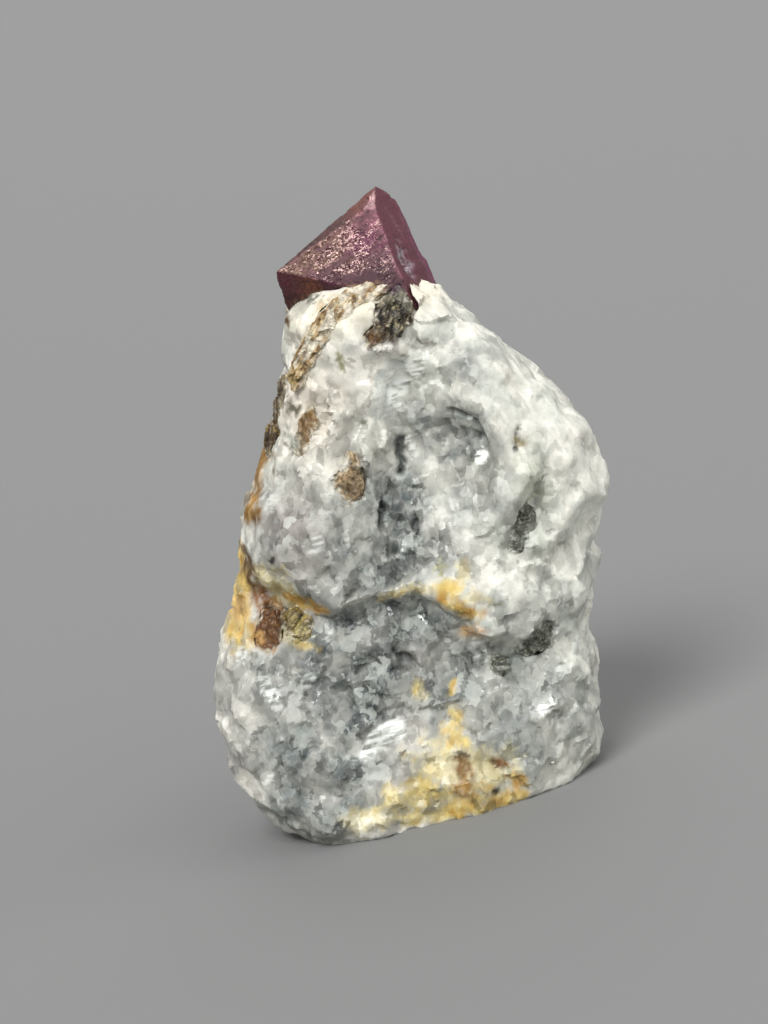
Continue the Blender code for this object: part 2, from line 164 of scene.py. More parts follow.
def split_in_steps(points, normals, rng, grain_mm, spread, steps_mm, strength):
    """Moves the points of each grain onto parallel flat steps of the grain's own direction."""
    seeds, ways = scattered(points, normals, rng, grain_mm, spread)
    steps = rng.uniform(*steps_mm, len(seeds))
    owner, _ = nearest_grains(points + rough_ways(points, grain_mm / 2) * grain_mm / 5, seeds)
    level = ((points - seeds[owner]) * ways[owner]).sum(axis=1) / steps[owner]
    move = np.round(level + 0.4 * rough(points, grain_mm / 3, 7.3)) - level
    return points + (strength * move * steps[owner])[:, None] * ways[owner]


def near(points, middle, radii):
    """From 1 in the middle of an egg-shaped place down to 0 outside it."""
    return np.exp(-(((points - np.array(middle)) / np.array(radii)) ** 2).sum(axis=1))


def seen_from_front(points):
    """The places of the points across the front and up."""
    return points[:, [0, 2]]


def near_line(points, start, end, width):
    """How many widths each point is from a line across the front, seen from the front."""
    flat = seen_from_front(points)
    a, b = np.array(start), np.array(end)
    along = np.clip(((flat - a) @ (b - a)) / max(((b - a) ** 2).sum(), 1e-9), 0, 1)
    return np.linalg.norm(flat - a - along[:, None] * (b - a), axis=1) / width


def smoothed(obj, values, rounds):
    """Evens out values from point to point along the edges of the mesh."""
    edges = np.empty(len(obj.data.edges) * 2, int)
    obj.data.edges.foreach_get("vertices", edges)
    a, b = edges.reshape(-1, 2).T
    count = np.bincount(a, minlength=len(values)) + np.bincount(b, minlength=len(values))
    values = values.copy()
    for _ in range(rounds):
        total = np.zeros_like(values)
        np.add.at(total, a, values[b])
        np.add.at(total, b, values[a])
        values = (values + total / count[:, None]) / 2
    return values


def store_colour(obj, name, colours):
    """Keeps a linear colour for each point, for the material to read."""
    attribute = obj.data.attributes.new(name, "FLOAT_COLOR", "POINT")
    rgba = np.ones((len(colours), 4))
    rgba[:, :3] = np.clip(colours, 0, 1)
    attribute.data.foreach_set("color", rgba.ravel())


def store_number(obj, name, values):
    """Keeps a number for each point, for the material to read."""
    attribute = obj.data.attributes.new(name, "FLOAT", "POINT")
    attribute.data.foreach_set("value", values)


def add_node(tree, kind, inputs=None, **settings):
    """Adds a node with these settings, and sets or links its inputs."""
    made = tree.nodes.new(kind)
    for name, value in settings.items():
        setattr(made, name, value)
    for name, value in (inputs or {}).items():
        if isinstance(value, bpy.types.NodeSocket):
            tree.links.new(value, made.inputs[name])
        else:
            made.inputs[name].default_value = value
    return made


def new_material(name):
    """A new material, its node tree and its shader."""
    material = bpy.data.materials.new(name)
    material.use_nodes = True
    return material, material.node_tree, material.node_tree.nodes["Principled BSDF"]


def smooth_shaded(obj, degrees):
    """Shades the piece smooth, apart from the edges that turn by more than this."""
    pick(obj)
    bpy.ops.object.shade_smooth_by_angle(angle=math.radians(degrees))


def distance_to(node, points, reach):
    """How far each point is from a solid, up to this reach."""
    solid = BVHTree.FromObject(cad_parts[node], bpy.context.evaluated_depsgraph_get())
    corners = np.array([corner[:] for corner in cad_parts[node].bound_box]) / MM
    around = ((points > corners.min(axis=0) - reach) & (points < corners.max(axis=0) + reach)).all(axis=1)
    away = np.full(len(points), reach)
    for index in np.flatnonzero(around):
        found = solid.find_nearest(Vector(points[index] * MM), reach * MM)
        if found[3] is not None:
            away[index] = found[3] / MM
    return away


marble = node_copy("marble_matrix", "marble_lump")
reskin(marble, SKIN_STEP)
rng = np.random.default_rng(11)
points, normals = points_of(marble)
# The rims of the crystals' pockets stay sharp
POCKET_RIM = 1.4
small_crystals = [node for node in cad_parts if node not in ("marble_matrix", "ruby")]
to_crystals = np.min([distance_to(node, points, POCKET_RIM) for node in small_crystals], axis=0)
above_base = np.clip(points[:, 2] / 1.5, 0, 1)
points = blend(points, smoothed(marble, points, 9), 0.7 * above_base * np.clip(to_crystals - 0.4, 0.15, 1))
move_points(marble, points)
points, normals = points_of(marble)

# The places on the front are measured from this point
FRONT_MIDDLE = np.array((0.41, -0.16, 0.0))
seen = points - FRONT_MIDDLE
front_view = seen_from_front(seen)

# Where the stone is clear and grey, seen from the front: middle, radii and strength
CLEAR_PLACES = [
    ((4.2, 42.6), (2.8, 3.6), 0.8), ((9.0, 40.2), (3.2, 4.2), 0.82), ((-2.5, 39.0), (2.4, 3.4), 0.6),
    ((-3.6, 45.2), (3.4, 2.6), 0.4), ((9.4, 34.8), (3.4, 3.0), 0.45), ((-8.6, 38.6), (2.6, 2.6), 0.6),
    ((0.5, 34.5), (3.6, 4.8), 1.15), ((-5.0, 36.5), (3.4, 3.0), 0.7), ((-11.4, 35.6), (3.6, 3.4), 1.25),
    ((0.1, 52.9), (0.9, 0.6), 0.9), ((-7.0, 33.4), (4.0, 3.0), 0.75), ((0.6, 30.2), (4.6, 3.0), 1.15),
    ((-3.6, 28.6), (4.0, 2.6), 1.2), ((3.2, 27.9), (2.8, 1.8), 0.8), ((-5.0, 24.2), (6.0, 2.8), 1.05),
    ((-0.8, 21.6), (5.4, 2.4), 1.25), ((-7.0, 18.0), (4.6, 4.0), 1.35), ((-11.4, 21.6), (4.0, 3.0), 1.0),
    ((4.5, 16.6), (3.0, 2.2), 0.85), ((9.8, 14.0), (3.6, 2.4), 0.85), ((-13.0, 16.6), (4.4, 5.0), 1.0),
    ((-9.4, 13.2), (4.6, 3.8), 1.1), ((-16.4, 11.5), (4.0, 4.4), 0.95), ((-11.6, 8.4), (4.4, 3.6), 1.0),
    ((-18.5, 5.5), (3.4, 3.0), 1.0), ((-14.5, 3.8), (4.4, 2.6), 0.95), ((0.2, 14.6), (4.6, 3.0), 0.95),
    ((6.4, 9.0), (3.4, 3.0), 0.7), ((-16.6, 18.2), (2.4, 2.6), 0.7), ((-17.4, 21.0), (2.6, 2.0), 0.55),
    ((-11.4, 28.0), (2.4, 1.6), 0.7), ((-14.0, 34.6), (1.8, 2.4), 0.6), ((12.0, 12.4), (2.6, 2.2), 0.75),
    ((7.4, 4.6), (2.4, 2.0), 0.65), ((14.5, 6.0), (3.6, 3.4), 0.35), ((7.5, 49.6), (2.6, 1.8), 0.4),
    ((11.4, 47.6), (3.0, 3.0), 0.7), ((15.0, 31.0), (2.6, 3.6), 0.35), ((12.5, 21.5), (3.5, 2.0), 0.3),
    ((17.0, 7.0), (3.0, 4.0), 0.35),
]
# Where it is bruised white in the middle of them
# The place under the ledge at (-7.0, 25.8) is painted whiter as painted light, to lighten the ledge's shadow
WHITE_PLACES = [
    ((3.4, 50.9), (3.4, 1.6), 1.0), ((1.6, 47.6), (3.4, 2.4), 0.9), ((2.0, 43.9), (1.8, 1.4), 0.7),
    ((12.8, 28.0), (2.6, 2.0), 0.5), ((9.0, 22.6), (4.0, 1.8), 0.6), ((7.6, 18.2), (1.8, 1.0), 0.6),
    ((17.0, 13.0), (2.6, 7.0), 0.7), ((-7.0, 10.9), (2.4, 1.0), 0.4), ((-7.0, 25.8), (2.5, 1.0), 0.6),
    ((1.5, 8.0), (2.6, 1.6), 0.6),
]
clear = np.zeros(len(points))
for middle, radii, strength in CLEAR_PLACES:
    clear = np.maximum(clear, strength * near(front_view, middle, radii))
for middle, radii, strength in WHITE_PLACES:
    clear = clear * (1 - strength * near(front_view, middle, radii))
back_clear = np.clip(0.9 * rough(points, 13.0, 3.1) + 0.35, 0, 0.9)
frontness = np.clip((2.0 - points[:, 1]) / 8.0, 0, 1)
clear = clear * frontness + back_clear * (1 - frontness)
clear = np.clip(clear + 0.3 * rough(points, 3.5, 1.7) * (clear > 0.08) + 0.2 * rough(points, 1.3, 4.4), 0, 1.1)

# Where the grains are worn or grown smooth and round, as glassy lumps: middle, radii and strength
ROUNDED_PLACES = [
    ((-11.5, -11, 36.0), (4.5, 8, 5.0), 0.8), ((-1.5, -9, 53.5), (5.0, 6, 4.5), 0.9),
    ((14.5, -8, 45.5), (5.0, 9, 4.5), 0.75), ((18.5, -6, 36.0), (4.5, 9, 8.0), 0.7),
    ((13.0, -11, 40.0), (2.5, 9, 4.5), 0.85), ((-18.5, -9, 8.5), (4.5, 8, 4.5), 0.6),
]
rounded = np.zeros(len(points))
for middle, radii, strength in ROUNDED_PLACES:
    rounded = np.maximum(rounded, strength * near(seen, middle, radii))

hold = np.clip(points[:, 2] / 1.2, 0, 1)
pull = hold * (0.62 - 0.45 * rounded)
points, big_grain, inside_big = broken_flat(points, normals, rng, grain_mm=2.8, spread=0.17, lift=0.1, pull=pull,
                                            ragged=0.5)
move_points(marble, points)
points, normals = points_of(marble)
points, grain, inside = broken_flat(points, normals, rng, grain_mm=1.4, spread=0.22, lift=0.05, pull=0.5 * pull,
                                    ragged=0.25)
split = 0.42 * hold * clear * (1 - rounded)
points = split_in_steps(points, normals, rng, grain_mm=2.2, spread=0.3, steps_mm=(0.3, 0.7), strength=split)
points += (smoothed(marble, points, 7) - points) * (0.15 + 0.8 * rounded)[:, None]
cushion = 0.1 * rounded * hold * (1 - np.exp(-inside_big / 0.5))
points = points + cushion[:, None] * normals

# Narrow slots between crystals, sunk in and painted dark for the shade in them: start, end and half-width across the
# front, and depth
SLOTS = [
    ((2.7, 41.4), (2.0, 38.2), 0.5, 1.1), ((-1.0, 35.2), (-1.6, 33.0), 0.3, 0.7),
    ((1.9, 33.4), (1.8, 31.2), 0.35, 0.7), ((10.8, 42.0), (11.3, 39.0), 0.3, 0.6),
    ((8.6, 43.6), (10.2, 42.6), 0.3, 0.5), ((-3.6, 19.6), (-2.2, 18.0), 0.4, 0.6),
    ((-7.5, 16.5), (-6.0, 14.6), 0.5, 0.6), ((15.2, 40.2), (14.4, 38.8), 0.3, 0.5),
]
slot_depth = np.zeros(len(points))
for start, end, width, depth in SLOTS:
    away = near_line(points - FRONT_MIDDLE + 0.35 * rough_ways(points, 1.0), start, end, width)
    slot_depth = np.maximum(slot_depth, depth * np.exp(-away ** 2) * frontness)
points = points - slot_depth[:, None] * normals
points[:, 2] = np.maximum(points[:, 2], 0)
move_points(marble, points)

points, normals = points_of(marble)
relief = ((points - smoothed(marble, points, 10)) * normals).sum(axis=1)
wide_relief = ((points - smoothed(marble, points, 66)) * normals).sum(axis=1)

BRUISED_WHITE = linear("f2efe3")
COOL_WHITE = linear("d3d5cb")
CLEAR_GREY = linear("57605f")
DEEP_GREY_AND_HOLLOW_SHADE = linear("434a49")
FROST = linear("a3aaa8")
PINK_GREY = linear("a29a94")
PAINTED_SHADE_WHITE = linear("9f9c96")
CREAM = linear("eadfc6")
GREEN_GREY = linear("bcc0aa")
PALE_YELLOW = linear("e9ddac")
YELLOW = linear("d9c068")
ORANGE = linear("b98a40")
BROWN = linear("5a4018")

seen = points - FRONT_MIDDLE
front_view = seen_from_front(seen)
tone = rng.uniform(-1, 1, grain.max() + 1)[grain]
big_tone = rng.uniform(-1, 1, big_grain.max() + 1)[big_grain]
paint = blend(np.tile(BRUISED_WHITE, (len(points), 1)), COOL_WHITE, 0.5 + 0.5 * big_tone)
# Painted shade: the lower front is painted darker, and greener grey towards the right, for the shade under the light
# from above
lower = np.clip((34.0 - points[:, 2]) / 14.0, 0, 1) * np.clip((12.0 - points[:, 0]) / 8.0, 0.5, 1) * frontness
painted_shade_colour = blend(np.tile(PAINTED_SHADE_WHITE, (len(points), 1)), linear("959c95"), points[:, 0] / 6.0)
paint = blend(paint, painted_shade_colour, 0.75 * lower * (0.8 + 0.3 * big_tone))
paint = blend(paint, CLEAR_GREY, clear * (0.95 + 0.3 * tone))
# Painted shade: clear stone is painted deep grey in its hollows, mixed with the grains' own darker tone
paint = blend(paint, DEEP_GREY_AND_HOLLOW_SHADE, clear * np.clip(-1.8 * relief - 0.35 * wide_relief + 0.4 * big_tone - 0.1, 0, 0.8))
paint = blend(paint, FROST, clear * np.clip(1.4 * relief + 3.0 * np.clip(tone - 0.7, 0, 1), 0, 0.8))
paint = blend(paint, BRUISED_WHITE, 0.2 * np.clip(1 - inside / 0.25, 0, 1) * (0.4 + 0.6 * clear))
# Where it is painted darker, partly as painted shade on the lower body and by the ledge, and partly duller because it
# is clear deeper down: middle, radii and strength
SHADE_AND_DULL_PLACES = [
    ((-4.0, 19.6), (9.0, 5.2), 0.35), ((7.5, 8.0), (5.5, 5.5), 0.3), ((9.6, 35.0), (2.6, 6.0), 0.38),
    ((4.6, 43.8), (2.4, 2.2), 0.35), ((1.6, 29.4), (4.6, 4.0), 0.35), ((-10.0, 35.6), (4.2, 4.2), 0.3),
    ((-4.2, 45.6), (3.0, 3.0), 0.2), ((-6.0, 12.0), (4.0, 3.0), 0.25), ((10.6, 13.6), (2.4, 2.2), 0.25),
    ((9.0, 50.5), (3.5, 2.0), 0.2),
]
shade_and_dullness = np.max([strength * near(front_view, middle, radii) for middle, radii, strength in SHADE_AND_DULL_PLACES], axis=0)
paint = paint * (1 - shade_and_dullness * frontness)[:, None]
# Painted light: the brow under the mica is painted a brighter white, against the shade of the hollow it faces
paint = blend(paint, linear("f5efe4"), 0.8 * near(front_view, (2.4, 51.0), (4.0, 1.9)) * frontness)
paint = blend(paint, PINK_GREY, 0.85 * near(seen, (-11.0, -12, 34.8), (3.6, 8, 4.6)))
paint = blend(paint, linear("f0e2cf"), 0.6 * near(seen, (-6.5, -10, 47.5), (4.5, 8, 5.5)))
cream = 0.7 * near(seen, (0.0, -9, 56.5), (8.0, 8, 2.2)) + 0.5 * near(seen, (9.0, -6, 56.5), (2.6, 6, 2.4))
paint = blend(paint, CREAM, cream)
paint = blend(paint, GREEN_GREY,
              0.75 * near(seen, (15.2, -11, 34.4), (2.2, 8, 4.6)) * (0.6 + rough(points, 1.1, 2.0)))
# Painted shade: the slots are painted near-black grey, the deeper the darker
paint = blend(paint, linear("343a38"), np.clip(1.3 * slot_depth, 0, 0.9))

# Crumbs of dark mineral dusted in the stone, seen from the front: middle, radii, colour and how thick they lie
# The crumbs at (-3.3, 58.7), under the ruby's foot, are painted shadow of the ruby, laid as grey specks
DUSTED = [
    ((15.2, 33.2), (1.6, 2.0), "b7bba1", -0.4), ((15.9, 34.4), (1.5, 1.2), "8f937d", -0.6),
    ((11.0, 15.9), (1.3, 1.0), "62675a", 0.1), ((-3.3, 58.7), (1.8, 0.7), "6a6a5c", 0.5),
    ((-7.8, 47.9), (1.1, 1.1), "4d4933", 0.5), ((-1.6, 51.6), (0.45, 1.4), "8a875e", 0.6),
    ((-0.8, 44.5), (0.5, 0.5), "80836f", 0.4), ((8.0, 22.6), (0.9, 0.7), "8d917a", 0.2),
    ((14.9, 38.9), (0.9, 0.7), "a49a76", 0.3), ((16.8, 26.0), (0.7, 0.8), "8c9083", 0.1),
    ((5.2, 50.2), (0.6, 1.2), "77745c", -0.2), ((-8.8, 44.4), (0.7, 1.7), "9a9d92", 0.8),
    ((3.2, 27.5), (1.2, 1.0), "a7a57e", 0.1),
]
crumbs = rough(points, 0.55, 7.0)
for middle, radii, hex_colour, thick in DUSTED:
    dust = near(front_view, middle, radii)
    share = (1.5 + thick) * dust - 0.9 + 1.8 * crumbs * np.clip(4 * dust - 0.5, 0, 1)
    paint = blend(paint, linear(hex_colour), np.clip(share, 0, 0.9) * frontness)

# Iron stains, seen from the front: start and end across the front, half-width, strength, and hue from yellow to brown
STAINS = [
    ((3.5, 25.5), (4.2, 24.8), 1.4, 0.95, 0.2), ((2.7, 24.1), (5.4, 22.1), 1.1, 1.0, 0.47),
    ((-3.5, 25.6), (2.0, 26.0), 0.7, 0.6, 0.2), ((5.6, 26.4), (6.1, 27.6), 0.8, 0.45, 0.12),
    ((4.2, 19.8), (5.7, 19.1), 0.8, 0.85, 0.4), ((6.0, 23.8), (7.6, 22.8), 0.7, 0.5, 0.1),
    ((-15.0, 30.6), (-13.4, 27.4), 1.9, 0.75, 0.08), ((-13.4, 28.0), (-9.8, 26.0), 0.8, 0.95, 0.45),
    ((-13.8, 23.0), (-12.6, 22.2), 0.8, 0.8, 0.2), ((-18.2, 35.4), (-17.7, 30.0), 1.4, 0.95, 0.4),
    ((-19.8, 29.6), (-19.8, 25.2), 2.3, 1.0, 0.2), ((-18.4, 28.6), (-18.4, 25.4), 0.8, 0.7, 0.45),
    ((-17.1, 33.6), (-16.6, 28.4), 0.85, 1.0, 0.95), ((-15.6, 37.0), (-12.2, 43.0), 1.1, 1.0, 0.75),
    ((-15.4, 27.6), (-14.6, 25.0), 0.8, 0.9, 0.7), ((-11.0, 45.0), (-9.0, 49.5), 0.7, 0.6, 0.7),
    ((-5.5, 59.2), (-6.3, 56.6), 0.5, 1.0, 1.0), ((-2.6, 6.7), (3.8, 4.3), 3.0, 0.75, 0.0),
    ((-7.8, 4.6), (-2.0, 3.0), 1.6, 0.8, 0.12), ((-2.0, 2.0), (5.6, 1.0), 1.0, 0.85, 0.4),
    ((-4.6, 5.4), (-4.0, 3.0), 1.2, 0.8, 0.25), ((0.0, 9.8), (1.2, 8.6), 0.9, 0.9, 0.2),
    ((1.6, 3.4), (3.4, 1.8), 0.9, 0.7, 0.4), ((5.4, 3.0), (6.4, 2.2), 0.9, 0.9, 0.45),
    ((4.2, 5.5), (5.2, 4.4), 0.5, 1.0, 0.85), ((-7.0, 1.6), (-1.0, 0.8), 1.2, 0.8, 0.15),
    ((-1.0, 0.7), (5.8, 0.2), 0.9, 0.85, 0.35), ((-2.2, 15.4), (-1.8, 14.2), 0.9, 0.75, 0.08),
    ((1.6, 14.6), (1.2, 13.8), 0.5, 0.85, 0.25), ((0.8, 11.6), (1.3, 10.4), 0.9, 0.85, 0.25),
    ((-13.0, 2.8), (-8.0, 2.2), 1.4, 0.6, 0.04), ((-3.4, 53.8), (-6.8, 50.0), 0.6, 0.4, 0.5),
    ((-2.0, 57.4), (4.0, 58.0), 0.7, 0.6, 0.45),
]
wander = seen + 0.7 * rough_ways(points, 1.8) + 0.3 * rough_ways(points, 0.6)
patchy = 0.5 * rough(points, 1.5, 9.0) + 0.4 * rough(points, 0.6, 5.0)
# The stains that start left of this line run on a little way round the edge
LEFT_SIDE = -4.9
round_the_edge = np.clip((5.0 - points[:, 1]) / 5.0, 0, 1)
for start, end, width, strength, hue in STAINS:
    share = strength * np.clip(1.3 * (1.1 - near_line(wander, start, end, width) + patchy), 0, 1)
    share *= round_the_edge if start[0] < LEFT_SIDE else frontness
    hue_here = np.clip(hue + 0.35 * patchy - 0.3 * relief, 0, 1)
    stain = blend(np.tile(PALE_YELLOW, (len(points), 1)), YELLOW, hue_here * 4)
    stain = blend(stain, ORANGE, hue_here * 3 - 0.7)
    stain = blend(stain, BROWN, hue_here * 2.6 - 1.5)
    paint = blend(paint, stain, share)

# The orange coat on the left edge is painted lighter than its own colour: painted light, as that side faces away from
# the lights
paint = blend(paint, linear("ffd08e"),
              0.85 * near(seen, (-20.0, -6, 27.2), (1.7, 6, 2.6)) * np.clip(0.8 + patchy, 0, 1))
# Where they are thick, seen from the front: middle, radii and colour
THICK_STAINS = [
    ((0.4, 5.3), (0.95, 2.1), "7a5820"), ((-0.2, 3.6), (1.2, 0.9), "a07a38"), ((4.5, 5.0), (0.55, 0.8), "7d5230"),
    ((-16.4, 27.9), (0.9, 1.5), "855526"), ((5.3, 20.0), (1.2, 0.8), "cfae88"),
]


def torn_view(points):
    """The places of the points seen from the front, moved a little so that what is drawn there has a torn edge."""
    return seen_from_front(points - FRONT_MIDDLE) + 0.4 * seen_from_front(rough_ways(points, 0.8))


def torn_place(view, middle, radii):
    """From 1 in most of an egg-shaped place to 0 outside it."""
    return np.clip(2.2 * near(view, middle, radii) - 0.3, 0, 1)


torn_front = torn_view(points)
for middle, radii, hex_colour in THICK_STAINS:
    thick = torn_place(torn_front, middle, radii) * np.clip(1.0 + 1.2 * crumbs, 0.2, 0.95)
    paint = blend(paint, linear(hex_colour), thick * frontness)

# Small dark specks: place across the front and radius
SPECKS = [
    ((14.3, 38.2), 0.3), ((-14.1, 32.7), 0.35), ((-13.8, 33.0), 0.25), ((11.5, 15.2), 0.35), ((3.2, 2.2), 0.45),
]
for middle, radius in SPECKS:
    paint = blend(paint, linear("2a241c"),
                  np.clip(2.5 * near(front_view, middle, (radius, radius)) - 0.5, 0, 1) * frontness)

side_stain = near(points, (-19.0, 0, 32.0), (4.0, 9, 9.0)) + 0.6 * near(points, (-12, 3, 47), (4, 6, 6))
side_stain = np.clip(1.6 * side_stain + 0.8 * rough(points, 3.0, 6.0) - 0.35, 0, 1) * (1 - 0.8 * frontness)
paint = blend(paint, blend(np.tile(YELLOW, (len(points), 1)), ORANGE, 0.5 + patchy), 0.8 * side_stain)
paint = blend(paint, BROWN, 0.6 * side_stain * np.clip(rough(points, 2.2, 8.0) * 2, 0, 1))

# The tint that each crystal leaves in the stone around it: colour, reach and strength
TINTS = {
    "mica_under_ruby": ("6e6450", 0.7, 0.9), "mica_seam": ("c9b78f", 0.7, 0.7),
    "mica_left_edge": ("5c4a30", 1.2, 0.95), "mica_book_amber": ("7b6f55", 0.7, 0.8),
    "mica_book_tan": ("8b7c66", 0.7, 0.8), "mica_red_brown": ("b5854a", 0.7, 0.8), "mica_ochre": ("bba965", 0.8, 0.8),
    "dark_grain_upper": ("5a5e50", 0.6, 0.7), "dark_grain_lower": ("4e5145", 1.0, 0.95),
    "dark_grain_small": ("83897b", 0.8, 0.8), "mica_book_back": ("8b7c66", 0.7, 0.8),
    "mica_clump_back": ("6e6450", 0.8, 0.9), "dark_grain_back": ("42453b", 1.0, 0.95),
}

for node, (hex_colour, reach, strength) in TINTS.items():
    away = distance_to(node, points, 3 * reach)
    share = np.clip(1.2 - 1.5 * away / reach + 1.7 * rough(points, 0.55, 3.3), 0, 1)
    paint = blend(paint, linear(hex_colour), strength * share * (away < 2.9 * reach))

# Where the stone runs on over the edge of a crystal, seen from the front: middle, radii and colour
COVERED = [
    ((2.9, 51.7), (1.8, 0.9), "dcd9d0"), ((-4.3, 41.5), (0.8, 1.2), "cfccc0"), ((-0.8, 40.6), (0.5, 1.2), "cfccc0"),
    ((14.0, 27.2), (1.2, 1.9), "bcbfb3"), ((10.6, 29.4), (0.8, 2.0), "bcbfb3"), ((-17.8, 24.2), (0.7, 0.8), "bd9358"),
    ((-14.6, 23.9), (0.6, 0.8), "c9c0a0"),
]
for middle, radii, hex_colour in COVERED:
    paint = blend(paint, linear(hex_colour), torn_place(torn_front, middle, radii) * frontness)

# Clean cleavage faces that catch the light, seen from the front: middle, half-length, half-width, lean, strength
FLASHES = [
    ((3.4, 47.9), 2.8, 1.9, 35, 0.9), ((6.3, 49.3), 1.6, 1.0, 20, 0.6), ((1.6, 45.8), 1.6, 1.1, 60, 0.7),
    ((10.6, 37.8), 0.75, 0.5, 20, 1.3), ((-6.9, 10.9), 2.5, 1.2, 70, 0.75), ((-9.1, 9.7), 1.3, 0.8, 60, 0.8),
    ((10.9, 9.9), 1.3, 0.6, 60, 0.9), ((13.8, 13.0), 1.0, 0.6, 70, 0.5), ((-10.2, 23.1), 0.8, 0.5, 40, 0.4),
    ((-20.2, 22.4), 1.0, 0.6, 30, 0.6), ((-18.0, 18.8), 0.7, 2.2, 75, 0.5), ((-9.2, 33.9), 1.2, 0.8, 50, 0.45),
    ((5.6, 18.4), 1.0, 0.6, 60, 0.5), ((-12.7, 38.4), 0.9, 0.5, 50, 0.5),
    ((3.6, 40.4), 0.4, 1.4, 80, 0.5), ((13.4, 28.2), 1.2, 0.9, 40, 0.45), ((-20.6, 9.0), 0.8, 0.5, 40, 0.7),
    ((16.4, 14.6), 1.1, 0.7, 60, 0.5), ((-13.6, 19.0), 0.9, 0.7, 60, 0.4),
]
ragged_seen = seen + 0.35 * rough_ways(points, 0.9)
flash = np.zeros(len(points))
for middle, half_length, half_width, lean, strength in FLASHES:
    off = seen_from_front(ragged_seen) - np.array(middle)
    c, s = math.cos(math.radians(lean)), math.sin(math.radians(lean))
    lengthwise = np.abs((off[:, 0] * s + off[:, 1] * c) / half_length)
    crosswise = np.abs((off[:, 0] * c - off[:, 1] * s) / half_width)
    inside_it = 1.15 - np.maximum(lengthwise, crosswise) - 0.3 * np.minimum(lengthwise, crosswise)
    flash = np.maximum(flash, strength * np.clip(5 * inside_it, 0, 1) * frontness)
# Painted highlight: the flashing faces are painted paler, as well as tilted to the light and made glossy
paint = blend(paint, linear("d0d4cc"), 0.5 * flash)
store_number(marble, "flash", flash)

store_colour(marble, "paint", paint)
polish = np.clip(rng.uniform(0, 1, grain.max() + 1)[grain] ** 2 * (0.35 + 0.65 * clear) - 0.3 * rounded, 0, 1)
store_number(marble, "polish", polish)
store_number(marble, "clear", clear)
smooth_shaded(marble, 22)

# Calcite marble, freshly broken: sugary and a little translucent, with cleavage faces that flash where they are clean
marble_material, tree, shader = new_material("broken_calcite_marble")
place = add_node(tree, "ShaderNodeTexCoord")
painted = add_node(tree, "ShaderNodeAttribute", attribute_name="paint")
polished = add_node(tree, "ShaderNodeAttribute", attribute_name="polish")
cleared = add_node(tree, "ShaderNodeAttribute", attribute_name="clear")
flashed = add_node(tree, "ShaderNodeAttribute", attribute_name="flash")
warp = add_node(tree, "ShaderNodeTexNoise",
                {"Vector": place.outputs["Object"], "Scale": 1 / (1.2 * MM), "Detail": 2.5, "Roughness": 0.55})
warp_middle = add_node(tree, "ShaderNodeVectorMath", {0: warp.outputs["Color"], 1: (0.5, 0.5, 0.5)},
                       operation="SUBTRACT")
warp_share = add_node(tree, "ShaderNodeVectorMath", {0: warp_middle.outputs[0], "Scale": 1.3 * MM}, operation="SCALE")
warped = add_node(tree, "ShaderNodeVectorMath", {0: place.outputs["Object"], 1: warp_share.outputs[0]},
                  operation="ADD")
turned = add_node(tree, "ShaderNodeMapping",
                  {"Vector": warped.outputs[0], "Rotation": (0.3, 0.5, 0.4), "Scale": (1.0, 1.0, 0.75)})

# Calcite splits into slanted boxes, so its grains and chips have straight, notched outlines
grains = add_node(tree, "ShaderNodeTexVoronoi", {"Vector": turned.outputs["Vector"], "Scale": 1 / (2.4 * MM)},
                  distance="MANHATTAN")
chips = add_node(tree, "ShaderNodeTexVoronoi", {"Vector": turned.outputs["Vector"], "Scale": 1 / (1.0 * MM)},
                 distance="MANHATTAN")
grain_rgb = add_node(tree, "ShaderNodeSeparateColor", {"Color": grains.outputs["Color"]})
chip_rgb = add_node(tree, "ShaderNodeSeparateColor", {"Color": chips.outputs["Color"]})
both = add_node(tree, "ShaderNodeMath", {0: grain_rgb.outputs["Red"], 1: chip_rgb.outputs["Red"]}, operation="ADD")
contrast = add_node(tree, "ShaderNodeMapRange", {"Value": cleared.outputs["Fac"], "To Min": 0.2, "To Max": 0.7})
around_zero = add_node(tree, "ShaderNodeMath", {0: both.outputs[0], 1: 1.0}, operation="SUBTRACT")
grain_tone = add_node(tree, "ShaderNodeMath", {0: around_zero.outputs[0], 1: contrast.outputs["Result"], 2: 1.0},
                      operation="MULTIPLY_ADD")
sugar = add_node(tree, "ShaderNodeTexNoise",
                 {"Vector": place.outputs["Object"], "Scale": 1 / (0.8 * MM), "Detail": 5.0, "Roughness": 0.65})
sugar_tone = add_node(tree, "ShaderNodeMapRange",
                      {"Value": sugar.outputs["Fac"], "From Min": 0.3, "From Max": 0.7, "To Min": 0.88,
                       "To Max": 1.1})
all_tones = add_node(tree, "ShaderNodeMath", {0: grain_tone.outputs[0], 1: sugar_tone.outputs["Result"]},
                     operation="MULTIPLY")
toned = add_node(tree, "ShaderNodeVectorMath", {0: painted.outputs["Color"], "Scale": all_tones.outputs[0]},
                 operation="SCALE")
frosted = add_node(tree, "ShaderNodeMapRange",
                   {"Value": both.outputs[0], "From Min": 1.36, "From Max": 1.42, "To Max": 0.5})
torn = add_node(tree, "ShaderNodeTexNoise",
                {"Vector": warped.outputs[0], "Scale": 1 / (2.2 * MM), "Detail": 6.0, "Roughness": 0.7})
torn_off = add_node(tree, "ShaderNodeMapRange",
                    {"Value": torn.outputs["Fac"], "From Min": 0.58, "From Max": 0.6, "To Max": 0.4})
pale = add_node(tree, "ShaderNodeMath", {0: frosted.outputs["Result"], 1: torn_off.outputs["Result"]},
                operation="MAXIMUM")
pale_share = add_node(tree, "ShaderNodeMath", {0: pale.outputs[0], 1: cleared.outputs["Fac"]}, operation="MULTIPLY")
chipped = add_node(tree, "ShaderNodeMix", {0: pale_share.outputs[0], 6: toned.outputs[0], 7: (*linear("c2c7bf"), 1)},
                   data_type="RGBA")
